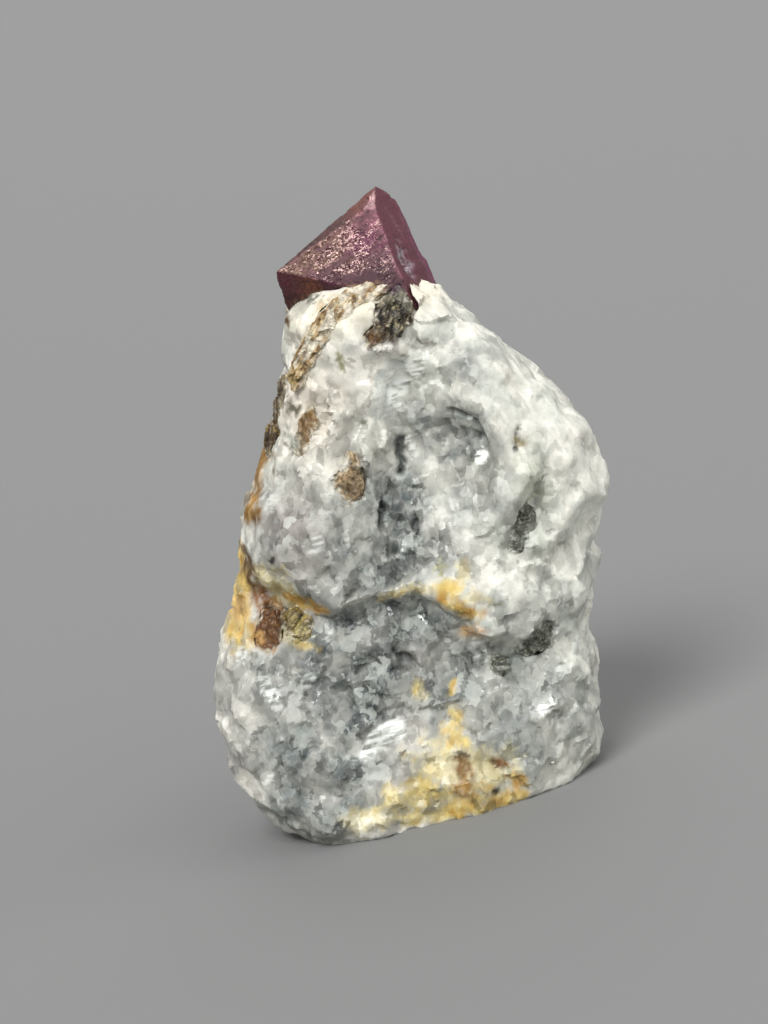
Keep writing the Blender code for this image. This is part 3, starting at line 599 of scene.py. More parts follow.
# The steps on a split face are long and a third of a millimetre apart
along_steps = add_node(tree, "ShaderNodeMapping",
                       {"Vector": place.outputs["Object"], "Rotation": (0.0, 0.26, 0.0), "Scale": (0.14, 0.5, 1.0)})
split_lines = add_node(tree, "ShaderNodeTexNoise",
                       {"Vector": along_steps.outputs["Vector"], "Scale": 1 / (0.45 * MM), "Detail": 2.0})
split_tone = add_node(tree, "ShaderNodeMapRange",
                      {"Value": split_lines.outputs["Fac"], "From Min": 0.42, "From Max": 0.56})
split_share = add_node(tree, "ShaderNodeMath", {0: split_tone.outputs["Result"], 1: flashed.outputs["Fac"]},
                       operation="MULTIPLY", use_clamp=True)
# Painted highlight: the steps on the flashing faces are painted pale
colour = add_node(tree, "ShaderNodeMix",
                  {0: split_share.outputs[0], 6: chipped.outputs[2], 7: (*linear("e6eae2"), 1)}, data_type="RGBA")

grit = add_node(tree, "ShaderNodeTexNoise",
                {"Vector": place.outputs["Object"], "Scale": 1 / (0.4 * MM), "Detail": 3.0})
bumped = add_node(tree, "ShaderNodeBump", {"Height": grit.outputs["Fac"], "Strength": 0.3, "Distance": 0.05 * MM})
grain_tilt = add_node(tree, "ShaderNodeVectorMath", {0: grains.outputs["Color"], 1: (0.5, 0.5, 0.5)},
                      operation="SUBTRACT")
chip_tilt = add_node(tree, "ShaderNodeVectorMath", {0: chips.outputs["Color"], 1: (0.5, 0.5, 0.5)},
                     operation="SUBTRACT")
both_tilts = add_node(tree, "ShaderNodeVectorMath", {0: grain_tilt.outputs[0], 1: chip_tilt.outputs[0]},
                      operation="ADD")
tilt_share = add_node(tree, "ShaderNodeVectorMath", {0: both_tilts.outputs[0], "Scale": 0.42}, operation="SCALE")
tilted = add_node(tree, "ShaderNodeVectorMath", {0: bumped.outputs["Normal"], 1: tilt_share.outputs[0]},
                  operation="ADD")
flash_way = add_node(tree, "ShaderNodeVectorMath", {0: (-0.25, -1.9, 1.25), "Scale": split_share.outputs[0]},
                     operation="SCALE")
flash_tilted = add_node(tree, "ShaderNodeVectorMath", {0: tilted.outputs[0], 1: flash_way.outputs[0]},
                        operation="ADD")
facing = add_node(tree, "ShaderNodeVectorMath", {0: flash_tilted.outputs[0]}, operation="NORMALIZE")
grain_shine = add_node(tree, "ShaderNodeMath", {0: polished.outputs["Fac"], 1: grain_rgb.outputs["Green"]},
                       operation="MULTIPLY")
flash_shine = add_node(tree, "ShaderNodeMath", {0: flashed.outputs["Fac"], 1: 0.35}, operation="MULTIPLY")
shine = add_node(tree, "ShaderNodeMath", {0: grain_shine.outputs[0], 1: flash_shine.outputs[0]}, operation="MAXIMUM")
gloss = add_node(tree, "ShaderNodeMapRange",
                 {"Value": shine.outputs[0], "From Max": 0.6, "To Min": 0.5, "To Max": 0.12})
tree.links.new(colour.outputs[2], shader.inputs["Base Color"])
tree.links.new(gloss.outputs["Result"], shader.inputs["Roughness"])
tree.links.new(facing.outputs[0], shader.inputs["Normal"])
shader.inputs["IOR"].default_value = 1.56
shader.inputs["Subsurface Weight"].default_value = 0.25
shader.inputs["Subsurface Radius"].default_value = (1.0, 0.95, 0.9)
shader.inputs["Subsurface Scale"].default_value = 0.8 * MM
marble.data.materials.append(marble_material)
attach(marble, "root")
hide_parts("marble_matrix")


# Ruby: one blocky crystal of corundum, purple-red and nearly opaque, grown into the marble at its foot.
# Its faces carry growth steps and fine striations along the crystal's layers, which glitter.

RUBY_SKIN = 0.13


def looking(azimuth, tilt_up):
    """A direction, by how far it is turned from the front to the right and tilted up, in degrees."""
    a, t = math.radians(azimuth), math.radians(tilt_up)
    return np.array((math.sin(a) * math.cos(t), -math.cos(a) * math.cos(t), math.sin(t)))


ruby = node_copy("ruby", "ruby_crystal")
reskin(ruby, RUBY_SKIN)
rng = np.random.default_rng(23)
points, normals = points_of(ruby)
# Its foot is swelled a little, to fill the gap to the stone
FOOT_TOP = 59.6
points += 0.32 * np.clip((FOOT_TOP - points[:, 2]) / 1.4, 0, 1)[:, None] * normals
RUBY_MIDDLE = (3.41, -2.16, 59.0)
# Each face: the way it looks, as azimuth and tilt up in degrees, and its distance from the middle
FACES = {
    "front": (-5, 25, 4.85), "upper": (-41, 62, 6.5), "apex": (5, 54, 7.15), "right": (68, 15, 5.5),
    "far_right": (83, 10, 6.3), "under": (-30, -28, 4.9), "back": (-144, 36, 4.0), "back_top": (178, 42, 7.3),
    "back_right": (145, 3, 7.4), "back_left": (-130, 10, 5.8),
}
face_ways = np.array([looking(a, t) for a, t, _ in FACES.values()])
face_distances = np.array([d for _, _, d in FACES.values()])
slack = (points - np.array(RUBY_MIDDLE)) @ face_ways.T - face_distances
face = slack.argmax(axis=1)
names = list(FACES)
edge_gap = np.sort(slack, axis=1)[:, -1] - np.sort(slack, axis=1)[:, -2]


def gap_to(name):
    """How far each point is from the edge with this face; nothing on the face itself."""
    return slack.max(axis=1) - slack[:, names.index(name)]


def on(name):
    """1 for each point on this face, and 0 elsewhere."""
    return (face == names.index(name)).astype(float)


# The crystal's layers lie along the ridge between its front and upper faces; striations run where they meet a face
axis = np.cross(looking(-5, 25), looking(-41, 62))
layer_way = np.cross(axis / np.linalg.norm(axis), looking(-5, 25))
layers = points @ layer_way + 0.5 * rough(points, 2.2, 31.0) + 0.2 * rough(points, 0.8, 37.0)
zero = np.zeros(len(points))
striae = rough(np.stack([layers * 2.2, face * 5.0 + 0.25 * points[:, 0], zero], axis=1), 1.0)
drawn_out = np.stack([layers * 7.0, points[:, 0] * 0.5, points[:, 2] * 0.5 + face * 3.0], axis=1)
fine_striae = rough(drawn_out, 1.0, 3.0)
plates = np.round(1.6 * rough(points + 0.5 * rough_ways(points, 1.0), 2.0, 12.0) + 0.4 * striae) / 1.6
ROUGHNESS_OF_FACE = {
    "front": 1.4, "upper": 0.7, "apex": 0.8, "right": 0.3, "far_right": 0.5, "under": 1.1,
}
weight = np.array([ROUGHNESS_OF_FACE.get(name, 0.8) for name in names])[face]
height = weight * (0.03 * striae + 0.03 * fine_striae + 0.07 * plates)
chips = np.clip(rough(points, 0.9, 20.0) - 0.1, 0, 1) * np.exp(-edge_gap / 0.3)
height -= 0.3 * chips
# The chipped hollow at the foot of its right edge
notch = near(points, (8.4, -4.3, 60.2), (1.4, 1.0, 1.8))
notch += 0.9 * near(points, (8.2, -5.6, 58.6), (1.4, 0.9, 1.4))
notch = np.clip(1.6 * notch - 0.3 + 0.5 * rough(points, 0.7, 2.0), 0, 1)
height -= 0.5 * notch * (0.7 + rough(points, 0.8, 2.0))
points = points + height[:, None] * face_ways[face]
move_points(ruby, points)

# The apex is painted pale pink for the glitter on it: painted highlight
FACE_COLOURS = {
    "front": "522c3e", "upper": "4c3232", "apex": "a98086", "right": "633240", "far_right": "703052",
    "under": "432223", "back": "5c2a3c", "back_top": "5c2a3c", "back_right": "5a2440", "back_left": "4c2230",
}
BROWN_TINT_AND_SHEEN = linear("71584a")
PINK_TINT_AND_SHEEN = linear("95596d")
GREY_PURPLE = linear("352030")
DEEP_PURPLE = linear("2c1428")
VIVID_PURPLE = linear("25061e")
DARK_BROWN = linear("33221e")
CHIP_GREY = linear("a39aa3")
CRUST = linear("9c8658")
paint = np.array([linear(FACE_COLOURS[name]) for name in names])[face]
patchy = rough(points, 1.3, 3.0)
mottled = rough(points, 0.5, 13.0)

# How far each point of the front is under the ridge at its top; the band along the ridge is painted brown and pink,
# partly its own colour and partly painted sheen, and it glitters
RIDGE_HEIGHT, RIDGE_SLOPE = 63.66, 0.323
BAND_WIDTH = 2.5
under_ridge = RIDGE_HEIGHT + RIDGE_SLOPE * points[:, 0] - points[:, 2] + 0.25 * rough(points, 0.9, 17.0)
in_band = on("front") * np.clip((BAND_WIDTH - under_ridge) / 0.5, 0, 1)
to_the_right = np.clip((points[:, 0] - 1.5) / 3.0, 0, 1)
paint = blend(paint, BROWN_TINT_AND_SHEEN,
              in_band * (1 - 0.75 * to_the_right) * np.clip(0.75 + 0.7 * patchy + 0.6 * mottled, 0, 1))
paint = blend(paint, PINK_TINT_AND_SHEEN, in_band * to_the_right * np.clip(0.35 + 0.8 * patchy + 0.5 * mottled, 0, 0.8))
# Painted highlights: the ridge to the upper face and a line in the band are painted pale pink, where they catch the
# light
ridge_highlight = on("front") * np.exp(-gap_to("upper") / 0.12) * np.clip(0.3 + points[:, 0] / 3.0, 0.2, 1)
paint = blend(paint, linear("b58b89"), 0.6 * ridge_highlight * np.clip(0.7 + 0.8 * mottled, 0, 1))
mid_band = np.clip(1.0 - np.abs(points[:, 0] + 0.2) / 1.8, 0, 1)
band_edge_highlight = on("front") * np.exp(-((under_ridge - 2.3) / 0.15) ** 2) * mid_band
paint = blend(paint, linear("b98d90"), 0.6 * band_edge_highlight)
below_band = on("front") * (1 - np.clip((BAND_WIDTH - under_ridge) / 0.5, 0, 1))
paint = blend(paint, linear("4a343a"),
              below_band * np.clip((2.6 - points[:, 0]) / 1.5, 0, 0.8) * np.clip(0.8 + mottled, 0, 1))
paint = blend(paint, linear("6e3554"),
              on("front") * near(points, (5.0, -6, 62.7), (1.8, 3, 1.5)) * np.clip(0.8 + patchy, 0, 1))
paint = blend(paint, GREY_PURPLE,
              on("front") * near(points, (5.2, -7, 60.2), (2.2, 3, 1.6)) * np.clip(0.8 + mottled, 0, 1))
paint = blend(paint, BROWN_TINT_AND_SHEEN,
              0.6 * on("front") * near(points, (3.0, -7, 61.0), (1.6, 2, 1.0)) * np.clip(0.4 + 1.4 * mottled, 0, 1))
# Painted highlight: the low right of the front is painted lighter for its sparkle
paint = blend(paint, linear("86696d"),
              0.7 * on("front") * near(points, (6.6, -7, 60.6), (1.2, 2, 0.9)) * np.clip(0.5 + 1.4 * mottled, 0, 1))
foot = on("front") * np.clip((60.3 - points[:, 2]) / 0.9, 0, 1)
paint = blend(paint, DEEP_PURPLE, 0.95 * foot * np.clip(1.0 + patchy, 0, 1))
vivid = near(points, (-0.2, -6.8, 59.6), (1.5, 1.6, 0.7))
vivid += 0.8 * near(points, (6.8, -8.4, 57.7), (0.8, 0.9, 0.8))
paint = blend(paint, VIVID_PURPLE, vivid * np.clip(1.0 + rough(points, 0.6, 1.0), 0, 1))
paint = blend(paint, DARK_BROWN,
              on("upper") * np.clip((4.0 - points[:, 0]) / 5.0, 0, 1) * np.clip(0.5 + 1.2 * patchy, 0, 0.8))
paint = blend(paint, linear("6a3d38"), on("upper") * np.clip((points[:, 0] - 2.5) / 2.5, 0, 0.8))
paint = blend(paint, linear("6e3f2c"),
              on("under") * near(points, (-2.2, -6, 60.0), (1.6, 2, 1.4)) * np.clip(0.8 + mottled, 0, 1))
paint = blend(paint, linear("2e1217"), on("under") * np.clip(1.8 * rough(points, 0.9, 9.0), 0, 0.8))
paint = blend(paint, linear("5c2a3a"), on("under") * near(points, (-4.8, -5, 60.8), (1.2, 2, 1.0)))
paint = blend(paint, linear("300a26"), on("under") * np.clip((points[:, 0] + 1.6) / 1.0, 0, 0.9))
paint = blend(paint, PINK_TINT_AND_SHEEN, on("right") * np.clip(0.5 * fine_striae - 0.12, 0, 0.3))
paint = blend(paint, linear("4a2030"), on("right") * np.clip((61.5 - points[:, 2]) / 4.0, 0, 0.5))
paint = blend(paint, DARK_BROWN, on("front") * np.clip(-1.6 * fine_striae - 0.25, 0, 0.6))
streak = on("right") * near(points, (8.2, -1.9, 63.4), (0.8, 0.35, 2.0))
paint = blend(paint, linear("9c7a86"), 0.5 * streak * np.clip(0.5 + 1.5 * fine_striae, 0, 1))
paint = blend(paint, CHIP_GREY, 0.9 * notch * np.clip(0.6 + 1.6 * rough(points * (1, 1, 0.4), 0.5, 8.0), 0, 1))
# Painted highlights: the edge to the right face and all the crystal's edges are painted paler pink, where they catch
# the light
front_right_highlight = on("front") * np.exp(-gap_to("right") / 0.25) + on("right") * np.exp(-gap_to("front") / 0.12)
paint = blend(paint, linear("b07c8c"), 0.6 * front_right_highlight * np.clip(0.5 + 1.5 * rough(points, 0.8, 5.0), 0, 1))
paint = blend(paint, PINK_TINT_AND_SHEEN, np.exp(-edge_gap / 0.1) * 0.4 * np.clip(0.4 + 1.5 * rough(points, 0.8, 5.0), 0, 1))
paint = blend(paint, DARK_BROWN, 0.4 * np.clip(rough(points, 1.2, 15.0) * 1.6 - 0.3, 0, 1) * (1 - on("right")))
stone = BVHTree.FromObject(marble, bpy.context.evaluated_depsgraph_get())


def distance_to_stone(points):
    """How far each point is from the surface of the marble around it."""
    return np.array([stone.find_nearest(Vector(point * MM))[3] / MM for point in points])


to_stone = distance_to_stone(points)
crust = np.clip(1.2 - to_stone / 0.5 + 1.5 * rough(points, 0.5, 6.0), 0, 1) * np.exp(-(to_stone / 0.9) ** 2)
crust *= np.clip(0.25 + on("front") * np.clip(6.2 - points[:, 0], 0, 1), 0, 1) * (1 - np.clip(vivid, 0, 0.8))
paint = blend(paint, CRUST, 0.85 * crust)
store_colour(ruby, "paint", paint)

# Where it glitters most: middle, radii and strength
SPARKLES = [
    ((3.9, -6, 62.0), (1.0, 2, 0.9), 1.1), ((2.2, -6, 60.9), (1.0, 2, 0.7), 0.9),
    ((0.4, -6, 62.4), (2.2, 2, 0.7), 0.9), ((3.4, -5.5, 64.0), (1.6, 2, 0.6), 0.6),
    ((6.4, -7.2, 60.3), (1.4, 2, 0.9), 1.3), ((1.5, -7, 60.4), (2.4, 2, 0.5), 0.6),
]
sparkly = -0.6 * foot
for middle, radii, strength in SPARKLES:
    sparkly += strength * near(points, middle, radii)
patchy_shine = 0.9 * striae + 0.9 * patchy + 0.6 * rough(points, 0.4, 8.0)
glitter = on("front") * np.clip(0.25 + 0.35 * in_band + patchy_shine + sparkly, 0.1, 1)
glitter = np.maximum(glitter, on("upper") * np.clip(0.1 + 1.2 * patchy, 0, 0.8))
glitter = np.maximum(glitter, on("apex") * np.clip(0.8 + patchy, 0, 1))
glitter = np.maximum(glitter, np.exp(-edge_gap / 0.3) * 0.6)
glitter = np.maximum(glitter, 0.35 * on("under") + 0.4 * notch + 0.05)
store_number(ruby, "glitter", np.clip(glitter * (1 - 0.8 * crust), 0, 1))
smooth_shaded(ruby, 25)

# Ruby, natural crystal faces: corundum's high gloss, broken up by layer edges into small glints
ruby_material, tree, shader = new_material("natural_ruby_face")
place = add_node(tree, "ShaderNodeTexCoord")
painted = add_node(tree, "ShaderNodeAttribute", attribute_name="paint")
mottle = add_node(tree, "ShaderNodeTexNoise",
                  {"Vector": place.outputs["Object"], "Scale": 1 / (0.28 * MM), "Detail": 4.0})
mottle_tone = add_node(tree, "ShaderNodeMapRange",
                       {"Value": mottle.outputs["Fac"], "From Min": 0.3, "From Max": 0.7, "To Min": 0.45,
                        "To Max": 1.5})
# The smooth faces at the sides are less mottled
glittered = add_node(tree, "ShaderNodeAttribute", attribute_name="glitter")
mottle_size = add_node(tree, "ShaderNodeMapRange",
                       {"Value": glittered.outputs["Fac"], "From Max": 0.4, "To Min": 0.3})
mottle_off = add_node(tree, "ShaderNodeMath", {0: mottle_tone.outputs["Result"], 1: 1.0}, operation="SUBTRACT")
mottle_share = add_node(tree, "ShaderNodeMath", {0: mottle_off.outputs[0], 1: mottle_size.outputs["Result"], 2: 1.0},
                        operation="MULTIPLY_ADD")
mottled = add_node(tree, "ShaderNodeVectorMath", {0: painted.outputs["Color"], "Scale": mottle_share.outputs[0]},
                   operation="SCALE")
warp = add_node(tree, "ShaderNodeTexNoise",
                {"Vector": place.outputs["Object"], "Scale": 1 / (0.5 * MM), "Detail": 2.0})
warp_share = add_node(tree, "ShaderNodeVectorMath", {0: warp.outputs["Color"], "Scale": 0.4 * MM}, operation="SCALE")
warped = add_node(tree, "ShaderNodeVectorMath", {0: place.outputs["Object"], 1: warp_share.outputs[0]},
                  operation="ADD")
# The glints are drawn out along the crystal's layers
along_layers = add_node(tree, "ShaderNodeMapping",
                        {"Vector": warped.outputs[0], "Rotation": (0.0, 0.35, 0.0), "Scale": (0.7, 1.0, 1.1)})
glints = add_node(tree, "ShaderNodeTexVoronoi", {"Vector": along_layers.outputs["Vector"], "Scale": 1 / (0.13 * MM)})
glint_rgb = add_node(tree, "ShaderNodeSeparateColor", {"Color": glints.outputs["Color"]})
tilt = add_node(tree, "ShaderNodeVectorMath", {0: glints.outputs["Color"], 1: (0.5, 0.5, 0.5)}, operation="SUBTRACT")
tilt_size = add_node(tree, "ShaderNodeMath", {0: glittered.outputs["Fac"], 1: 1.1}, operation="MULTIPLY")
tilt_share = add_node(tree, "ShaderNodeVectorMath", {0: tilt.outputs[0], "Scale": tilt_size.outputs[0]},
                      operation="SCALE")
grit = add_node(tree, "ShaderNodeTexNoise",
                {"Vector": place.outputs["Object"], "Scale": 1 / (0.25 * MM), "Detail": 3.0})
bumped = add_node(tree, "ShaderNodeBump", {"Height": grit.outputs["Fac"], "Strength": 0.3, "Distance": 0.03 * MM})
tilted = add_node(tree, "ShaderNodeVectorMath", {0: bumped.outputs["Normal"], 1: tilt_share.outputs[0]},
                  operation="ADD")
facing = add_node(tree, "ShaderNodeVectorMath", {0: tilted.outputs[0]}, operation="NORMALIZE")
shine = add_node(tree, "ShaderNodeMath", {0: glittered.outputs["Fac"], 1: glint_rgb.outputs["Blue"]},
                 operation="MULTIPLY")
# Painted glints: the glintiest cells are painted pale pink, so they sparkle from any side
painted_glints = add_node(tree, "ShaderNodeMapRange",
                     {"Value": shine.outputs[0], "From Min": 0.62, "From Max": 0.8, "To Max": 0.8})
colour = add_node(tree, "ShaderNodeMix",
                  {0: painted_glints.outputs["Result"], 6: mottled.outputs[0], 7: (*linear("e3bdb6"), 1)},
                  data_type="RGBA")
gloss = add_node(tree, "ShaderNodeMapRange",
                 {"Value": shine.outputs[0], "From Min": 0.1, "From Max": 0.6, "To Min": 0.62, "To Max": 0.16})
tree.links.new(colour.outputs[2], shader.inputs["Base Color"])
tree.links.new(gloss.outputs["Result"], shader.inputs["Roughness"])
tree.links.new(facing.outputs[0], shader.inputs["Normal"])
shader.inputs["IOR"].default_value = 1.77
shader.inputs["Specular IOR Level"].default_value = 0.42
shader.inputs["Specular Tint"].default_value = (*linear("f2cdc6"), 1)
ruby.data.materials.append(ruby_material)
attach(ruby, "root")
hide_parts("ruby")


# Mica: thin cleavage sheets stacked in books and clumps, set in the marble, with a pearly sheen on each sheet.
# The clump under the ruby and the one on the left edge are dark, and the others amber, tan and ochre.

MICA_SKIN = 0.13
# How far the points of the small crystals stray, which makes their outlines ragged
RAGGED = 0.35


def grow(obj, amount_mm):
    """Moves every flat face of the solid outwards by this much, and keeps its edges sharp."""
    bm = bmesh.new()
    bm.from_mesh(obj.data)
    bm.normal_update()
    places = []
    for vert in bm.verts:
        facings = np.array([face.normal[:] for face in vert.link_faces])
        move = np.linalg.lstsq(facings, np.full(len(facings), amount_mm * MM), rcond=0.05)[0]
        places.append(vert.co + Vector(move))
    for vert, place in zip(bm.verts, places):
        vert.co = place
    bm.to_mesh(obj.data)
    bm.free()


marble_points, marble_ways = points_of(marble)


def sunk_piece(node, name, grow_mm, sink_mm, ragged_mm):
    """A grown copy of the solid, pushed a little into the stone, with a ragged outline."""
    obj = node_copy(node, name)
    grow(obj, grow_mm)
    reskin(obj, MICA_SKIN)
    found, _ = points_of(obj)
    stone_nearby = np.linalg.norm(marble_points - found.mean(axis=0), axis=1) < 3.5
    out = marble_ways[stone_nearby].mean(axis=0)
    out /= np.linalg.norm(out)
    push = rough_ways(found, 1.1) * ragged_mm
    push -= (push @ out)[:, None] * out * 0.6
    move_points(obj, found + push - sink_mm * out)
    return obj


def split_in_flakes(obj, sheet_mm, grain_mm, seed, spread):
    """Splits the piece into small flakes; gives its points, and a chance tone for each one's flake."""
    found, ways = points_of(obj)
    chance = np.random.default_rng(seed)
    count = max(6, int(len(found) * MICA_SKIN ** 2 / grain_mm ** 2))
    chosen = chance.choice(len(found), count, replace=False)
    tilts = ways[chosen] + chance.normal(0, spread, (count, 3))
    tilts /= np.linalg.norm(tilts, axis=1, keepdims=True)
    owner, _ = nearest_grains(found + rough_ways(found, grain_mm / 2) * grain_mm / 4, found[chosen])
    level = ((found - found[chosen][owner]) * tilts[owner]).sum(axis=1) / sheet_mm
    move = np.round(level + 0.4 * rough(found, grain_mm / 2, seed)) - level
    found = found + np.clip(move * sheet_mm, -0.3, 0.3)[:, None] * tilts[owner]
    move_points(obj, found)
    return found, chance.uniform(-1, 1, count)[owner]


def streaked(points, lean, width_mm, length_mm, offset):
    """Noise drawn out into streaks that lean this many degrees from upright, seen from the front."""
    c, s = math.cos(math.radians(lean)), math.sin(math.radians(lean))
    along = points[:, 2] * c + points[:, 0] * s
    across = points[:, 0] * c - points[:, 2] * s
    return rough(np.stack([across / width_mm, points[:, 1] / width_mm, along / length_mm], axis=1), 1.0, offset)


# Each mica: its slot, a number for its chance, dark, medium and light colour, the lean of its sheets in degrees and
# how long they are, how uneven the colour is, how far the solid is grown and then sunk, and how much white stone is
# still stuck to it
MICAS = {
    "mica_under_ruby": ("mica_dark", 31, ("14110a", "3a2f20", "8d8468"), 40, 1.2, 1.0, 0.5, 0.7, 0.1),
    "mica_seam": ("mica_tan", 32, ("684c2b", "b0956a", "e0d4b4"), 47, 6.0, 0.9, 0.6, 0.4, 0.9),
    "mica_left_edge": ("mica_dark", 33, ("291f14", "54422a", "8f7a4c"), 25, 3.0, 0.8, 0.4, 0.4, 0.25),
    "mica_book_amber": ("mica_amber", 34, ("4b3a1c", "82643a", "b09366"), 6, 2.6, 0.6, 0.5, 0.8, 0.1),
    "mica_book_tan": ("mica_tan", 35, ("5a4a35", "8c7553", "b9a583"), 14, 2.6, 0.7, 0.5, 0.8, 0.1),
    "mica_red_brown": ("mica_amber", 36, ("402813", "6b492b", "8f6a44"), -14, 3.4, 0.35, 0.5, 0.7, 0.0),
    "mica_ochre": ("mica_amber", 37, ("332b12", "7a6630", "b8a254"), 50, 1.6, 0.7, 0.5, 0.5, 0.1),
    "mica_book_back": ("mica_tan", 38, ("5a4a35", "8c7553", "b9a583"), 30, 2.6, 0.7, 0.5, 0.8, 0.15),
    "mica_clump_back": ("mica_dark", 39, ("15120c", "33291a", "7d7355"), 65, 1.6, 0.9, 0.5, 0.8, 0.2),
}


def covered(paint, points):
    """The colours of a crystal, with the stone's own where the stone runs on over its edge."""
    view = torn_view(points)
    for middle, radii, hex_colour in COVERED:
        paint = blend(paint, linear(hex_colour), torn_place(view, middle, radii))
    return paint


# Patches of other colours on them, seen from the front: middle, radii, colour and strength
MICA_PATCHES = [
    ((2.3, 53.4), (1.2, 1.2), "5f401d", 1.1), ((4.6, 57.0), (1.6, 0.5), "9a967f", 0.6),
    ((6.2, 58.1), (1.5, 0.75), "3a2030", 2.0), ((6.8, 56.2), (0.6, 0.9), "b5b2a0", 0.6),
    ((-8.6, 44.4), (0.75, 1.8), "a9aca0", 1.0), ((-7.8, 47.9), (0.9, 0.8), "4c4830", 0.8),
    ((-7.4, 43.0), (0.5, 0.9), "504b2e", 0.6), ((-2.1, 41.4), (0.5, 0.9), "b99a6c", 0.8),
    ((-3.4, 38.6), (1.0, 1.2), "6b5b49", 0.6), ((-11.3, 26.6), (0.7, 0.6), "2b2412", 1.0),
    ((-14.6, 24.8), (0.7, 0.6), "2b2412", 0.8), ((-12.8, 24.2), (0.8, 1.0), "b6ab7c", 0.8),
    ((-16.2, 27.6), (0.6, 0.6), "9a6a3c", 0.7), ((-7.2, 51.0), (0.6, 1.0), "8a7a45", 0.6),
]

# Mica sheets: smooth, pearly and slightly metallic to the eye, in thin flakes that lie at small angles to each other
mica_material, tree, shader = new_material("mica_sheets")
place = add_node(tree, "ShaderNodeTexCoord")
painted = add_node(tree, "ShaderNodeAttribute", attribute_name="paint")
glints = add_node(tree, "ShaderNodeTexVoronoi", {"Vector": place.outputs["Object"], "Scale": 1 / (0.3 * MM)})
tilt = add_node(tree, "ShaderNodeVectorMath", {0: glints.outputs["Color"], 1: (0.5, 0.5, 0.5)}, operation="SUBTRACT")
tilt_share = add_node(tree, "ShaderNodeVectorMath", {0: tilt.outputs[0], "Scale": 0.4}, operation="SCALE")
geometry = add_node(tree, "ShaderNodeNewGeometry")
tilted = add_node(tree, "ShaderNodeVectorMath", {0: geometry.outputs["Normal"], 1: tilt_share.outputs[0]},
                  operation="ADD")
facing = add_node(tree, "ShaderNodeVectorMath", {0: tilted.outputs[0]}, operation="NORMALIZE")
mottle = add_node(tree, "ShaderNodeTexNoise",
                  {"Vector": place.outputs["Object"], "Scale": 1 / (0.45 * MM), "Detail": 4.0})
mottle_tone = add_node(tree, "ShaderNodeMapRange",
                       {"Value": mottle.outputs["Fac"], "From Min": 0.3, "From Max": 0.7, "To Min": 0.6,
                        "To Max": 1.4})
colour = add_node(tree, "ShaderNodeVectorMath", {0: painted.outputs["Color"], "Scale": mottle_tone.outputs["Result"]},
                  operation="SCALE")
tree.links.new(colour.outputs[0], shader.inputs["Base Color"])
tree.links.new(facing.outputs[0], shader.inputs["Normal"])
shader.inputs["Roughness"].default_value = 0.45
shader.inputs["IOR"].default_value = 1.58
shader.inputs["Specular IOR Level"].default_value = 0.35

for node, (slot, seed, hexes, lean, length, uneven, grown, sunk, stony) in MICAS.items():
    obj = sunk_piece(node, node + "_flakes", grown, sunk, RAGGED)
    points, tone = split_in_flakes(obj, sheet_mm=0.16, grain_mm=1.0, seed=seed, spread=0.5 / length)
    sheets = streaked(points, lean, 0.3, length, seed)
    _, normals = points_of(obj)
    points = points + 0.12 * sheets[:, None] * normals
    move_points(obj, points)
    front_view = seen_from_front(points - FRONT_MIDDLE)
    dark, medium, light = [linear(h) for h in hexes]
    share = 0.45 + uneven * (0.3 * tone + 0.9 * sheets + 0.5 * rough(points, 0.4, seed))
    share = np.clip(share, 0, 1)
    paint = blend(np.tile(dark, (len(points), 1)), medium, share * 1.8)
    paint = blend(paint, light, share * 2.5 - 1.5)
    if not node.endswith("back"):
        for middle, radii, hex_colour, strength in MICA_PATCHES:
            patch = strength * near(front_view, middle, radii) * np.clip(0.9 + sheets, 0, 1)
            paint = blend(paint, linear(hex_colour), patch)
    rim = np.clip(1.0 - distance_to_stone(points) / 0.4 + 1.6 * rough(points, 0.55, 3.3), 0, 1)
    rim = np.maximum(0.8 * rim, stony * np.clip(3.0 * streaked(points, lean, 0.6, length, seed + 0.5) + 0.4, 0, 1))
    paint = blend(paint, linear("dcd5c2"), rim)
    if not node.endswith("back"):
        paint = covered(paint, points)
    store_colour(obj, "paint", paint)
    obj.data.materials.append(mica_material)
    smooth_shaded(obj, 25)
    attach(obj, "root")
    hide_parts(node)


# Dark grains: small black-green glassy crystals of a dark silicate, set in the marble. They broke unevenly along
# with it, so white stone is left on them in places, and over the tail of the upper one.

# Each grain: a number for its chance, how far it is sunk, and how much white stone is still stuck to it
DARK_GRAINS = {
    "dark_grain_upper": (41, 0.5, 0.2), "dark_grain_lower": (42, 0.6, 0.15), "dark_grain_small": (43, 0.5, 0.45),
    "dark_grain_back": (44, 0.4, 0.3),
}

# Dark silicate, broken unevenly: nearly black-green, and only half glossy, because its surface is granular
dark_material, tree, shader = new_material("dark_silicate_grain")
painted = add_node(tree, "ShaderNodeAttribute", attribute_name="paint")
tree.links.new(painted.outputs["Color"], shader.inputs["Base Color"])
shader.inputs["Roughness"].default_value = 0.55
shader.inputs["IOR"].default_value = 1.65

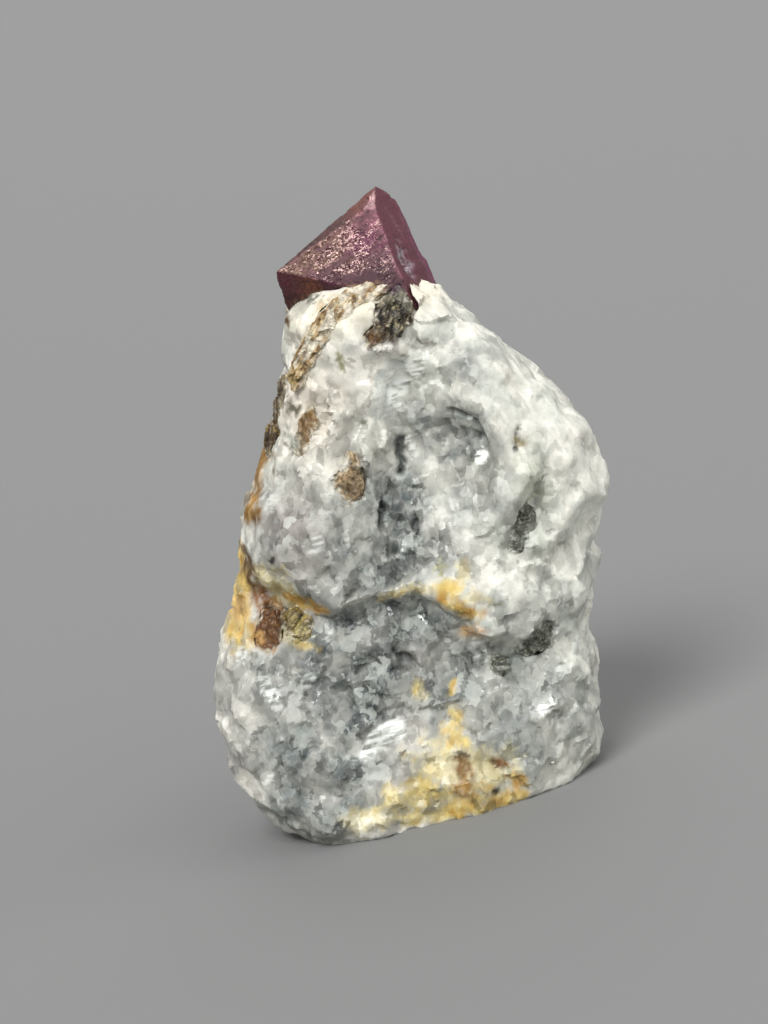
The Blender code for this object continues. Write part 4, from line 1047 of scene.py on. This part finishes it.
for node, (seed, sunk, stony) in DARK_GRAINS.items():
    obj = sunk_piece(node, node + "_broken", 0.6, sunk, RAGGED)
    points, tone = split_in_flakes(obj, sheet_mm=0.2, grain_mm=0.7, seed=seed, spread=0.5)
    crumbs = rough(points, 0.4, seed)
    paint = blend(np.tile(linear("24251d"), (len(points), 1)), linear("4b4e3e"),
                  np.clip(0.45 + 0.3 * tone + 0.9 * crumbs, 0, 1))
    paint = blend(paint, linear("8a8d7c"), np.clip(2.5 * rough(points, 0.3, seed + 0.3) - 0.4, 0, 0.8))
    rim = np.clip(0.8 - distance_to_stone(points) / 0.4 + 1.9 * rough(points, 0.55, 3.3), 0, 1)
    rim = np.maximum(rim, stony * np.clip(4.0 * rough(points, 0.8, seed + 0.6) + 0.3, 0, 1))
    paint = blend(paint, linear("b8bbae"), 0.9 * rim)
    if node != "dark_grain_back":
        paint = covered(paint, points)
    store_colour(obj, "paint", paint)
    obj.data.materials.append(dark_material)
    smooth_shaded(obj, 25)
    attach(obj, "root")
    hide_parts(node)


# Floor: a plain pale sheet of matt paper that runs on past the view.
# The specimen stands on it on its flat broken base.

bpy.ops.object.select_all(action="DESELECT")
bpy.ops.mesh.primitive_plane_add(size=400, location=(0, 0, 0))
floor = bpy.context.active_object
floor.name = "floor"

# Matt paper: even and without shine, so that nothing on it draws the eye
floor_material, _, shader = new_material("pale_matt_paper")
shader.inputs["Base Color"].default_value = (*linear("828382"), 1)
shader.inputs["Roughness"].default_value = 0.8
floor.data.materials.append(floor_material)


# Light: one wide soft light from the upper left, a weak one from the right and one from behind.
# An even grey surround fills the shadows.

def soft_light(name, azimuth, tilt_up, width, strength):
    """A light so far away that it falls evenly; width is how much of the sky it fills, in degrees."""
    data = bpy.data.lights.new(name, "SUN")
    data.energy = strength
    data.angle = math.radians(width)
    obj = bpy.data.objects.new(name, data)
    obj.rotation_euler = Vector(looking(azimuth, tilt_up)).to_track_quat("Z", "Y").to_euler()
    bpy.context.scene.collection.objects.link(obj)


soft_light("key", -24, 50, 28, 2.6)
soft_light("fill", 58, 24, 80, 1.4)
soft_light("back", 165, 50, 50, 0.6)
world = bpy.data.worlds.new("grey_surround")
world.use_nodes = True
world.node_tree.nodes["Background"].inputs["Color"].default_value = (1.0, 1.0, 1.0, 1)
world.node_tree.nodes["Background"].inputs["Strength"].default_value = 0.37
bpy.context.scene.world = world
bpy.context.scene.view_settings.view_transform = "Standard"


# Camera: a long lens a little above the specimen, looking 12 degrees down on it.
# It is rolled by 14.3 degrees, because the upright specimen leans by that much in the photograph.

camera_data = bpy.data.cameras.new("camera")
camera_data.lens = 100
camera_data.sensor_width = 36
camera_data.clip_start = 0.01
camera = bpy.data.objects.new("camera", camera_data)
camera.location = Vector((-0.635, -311.774, 98.503)) * MM
LOOKING_DOWN, ROLL = 12, -14.3
tilted_down = Matrix.Rotation(math.radians(90 - LOOKING_DOWN), 3, "X")
rolled = Matrix.Rotation(math.radians(ROLL), 3, "Z")
camera.rotation_euler = (tilted_down @ rolled).to_euler()
bpy.context.scene.collection.objects.link(camera)
bpy.context.scene.camera = camera
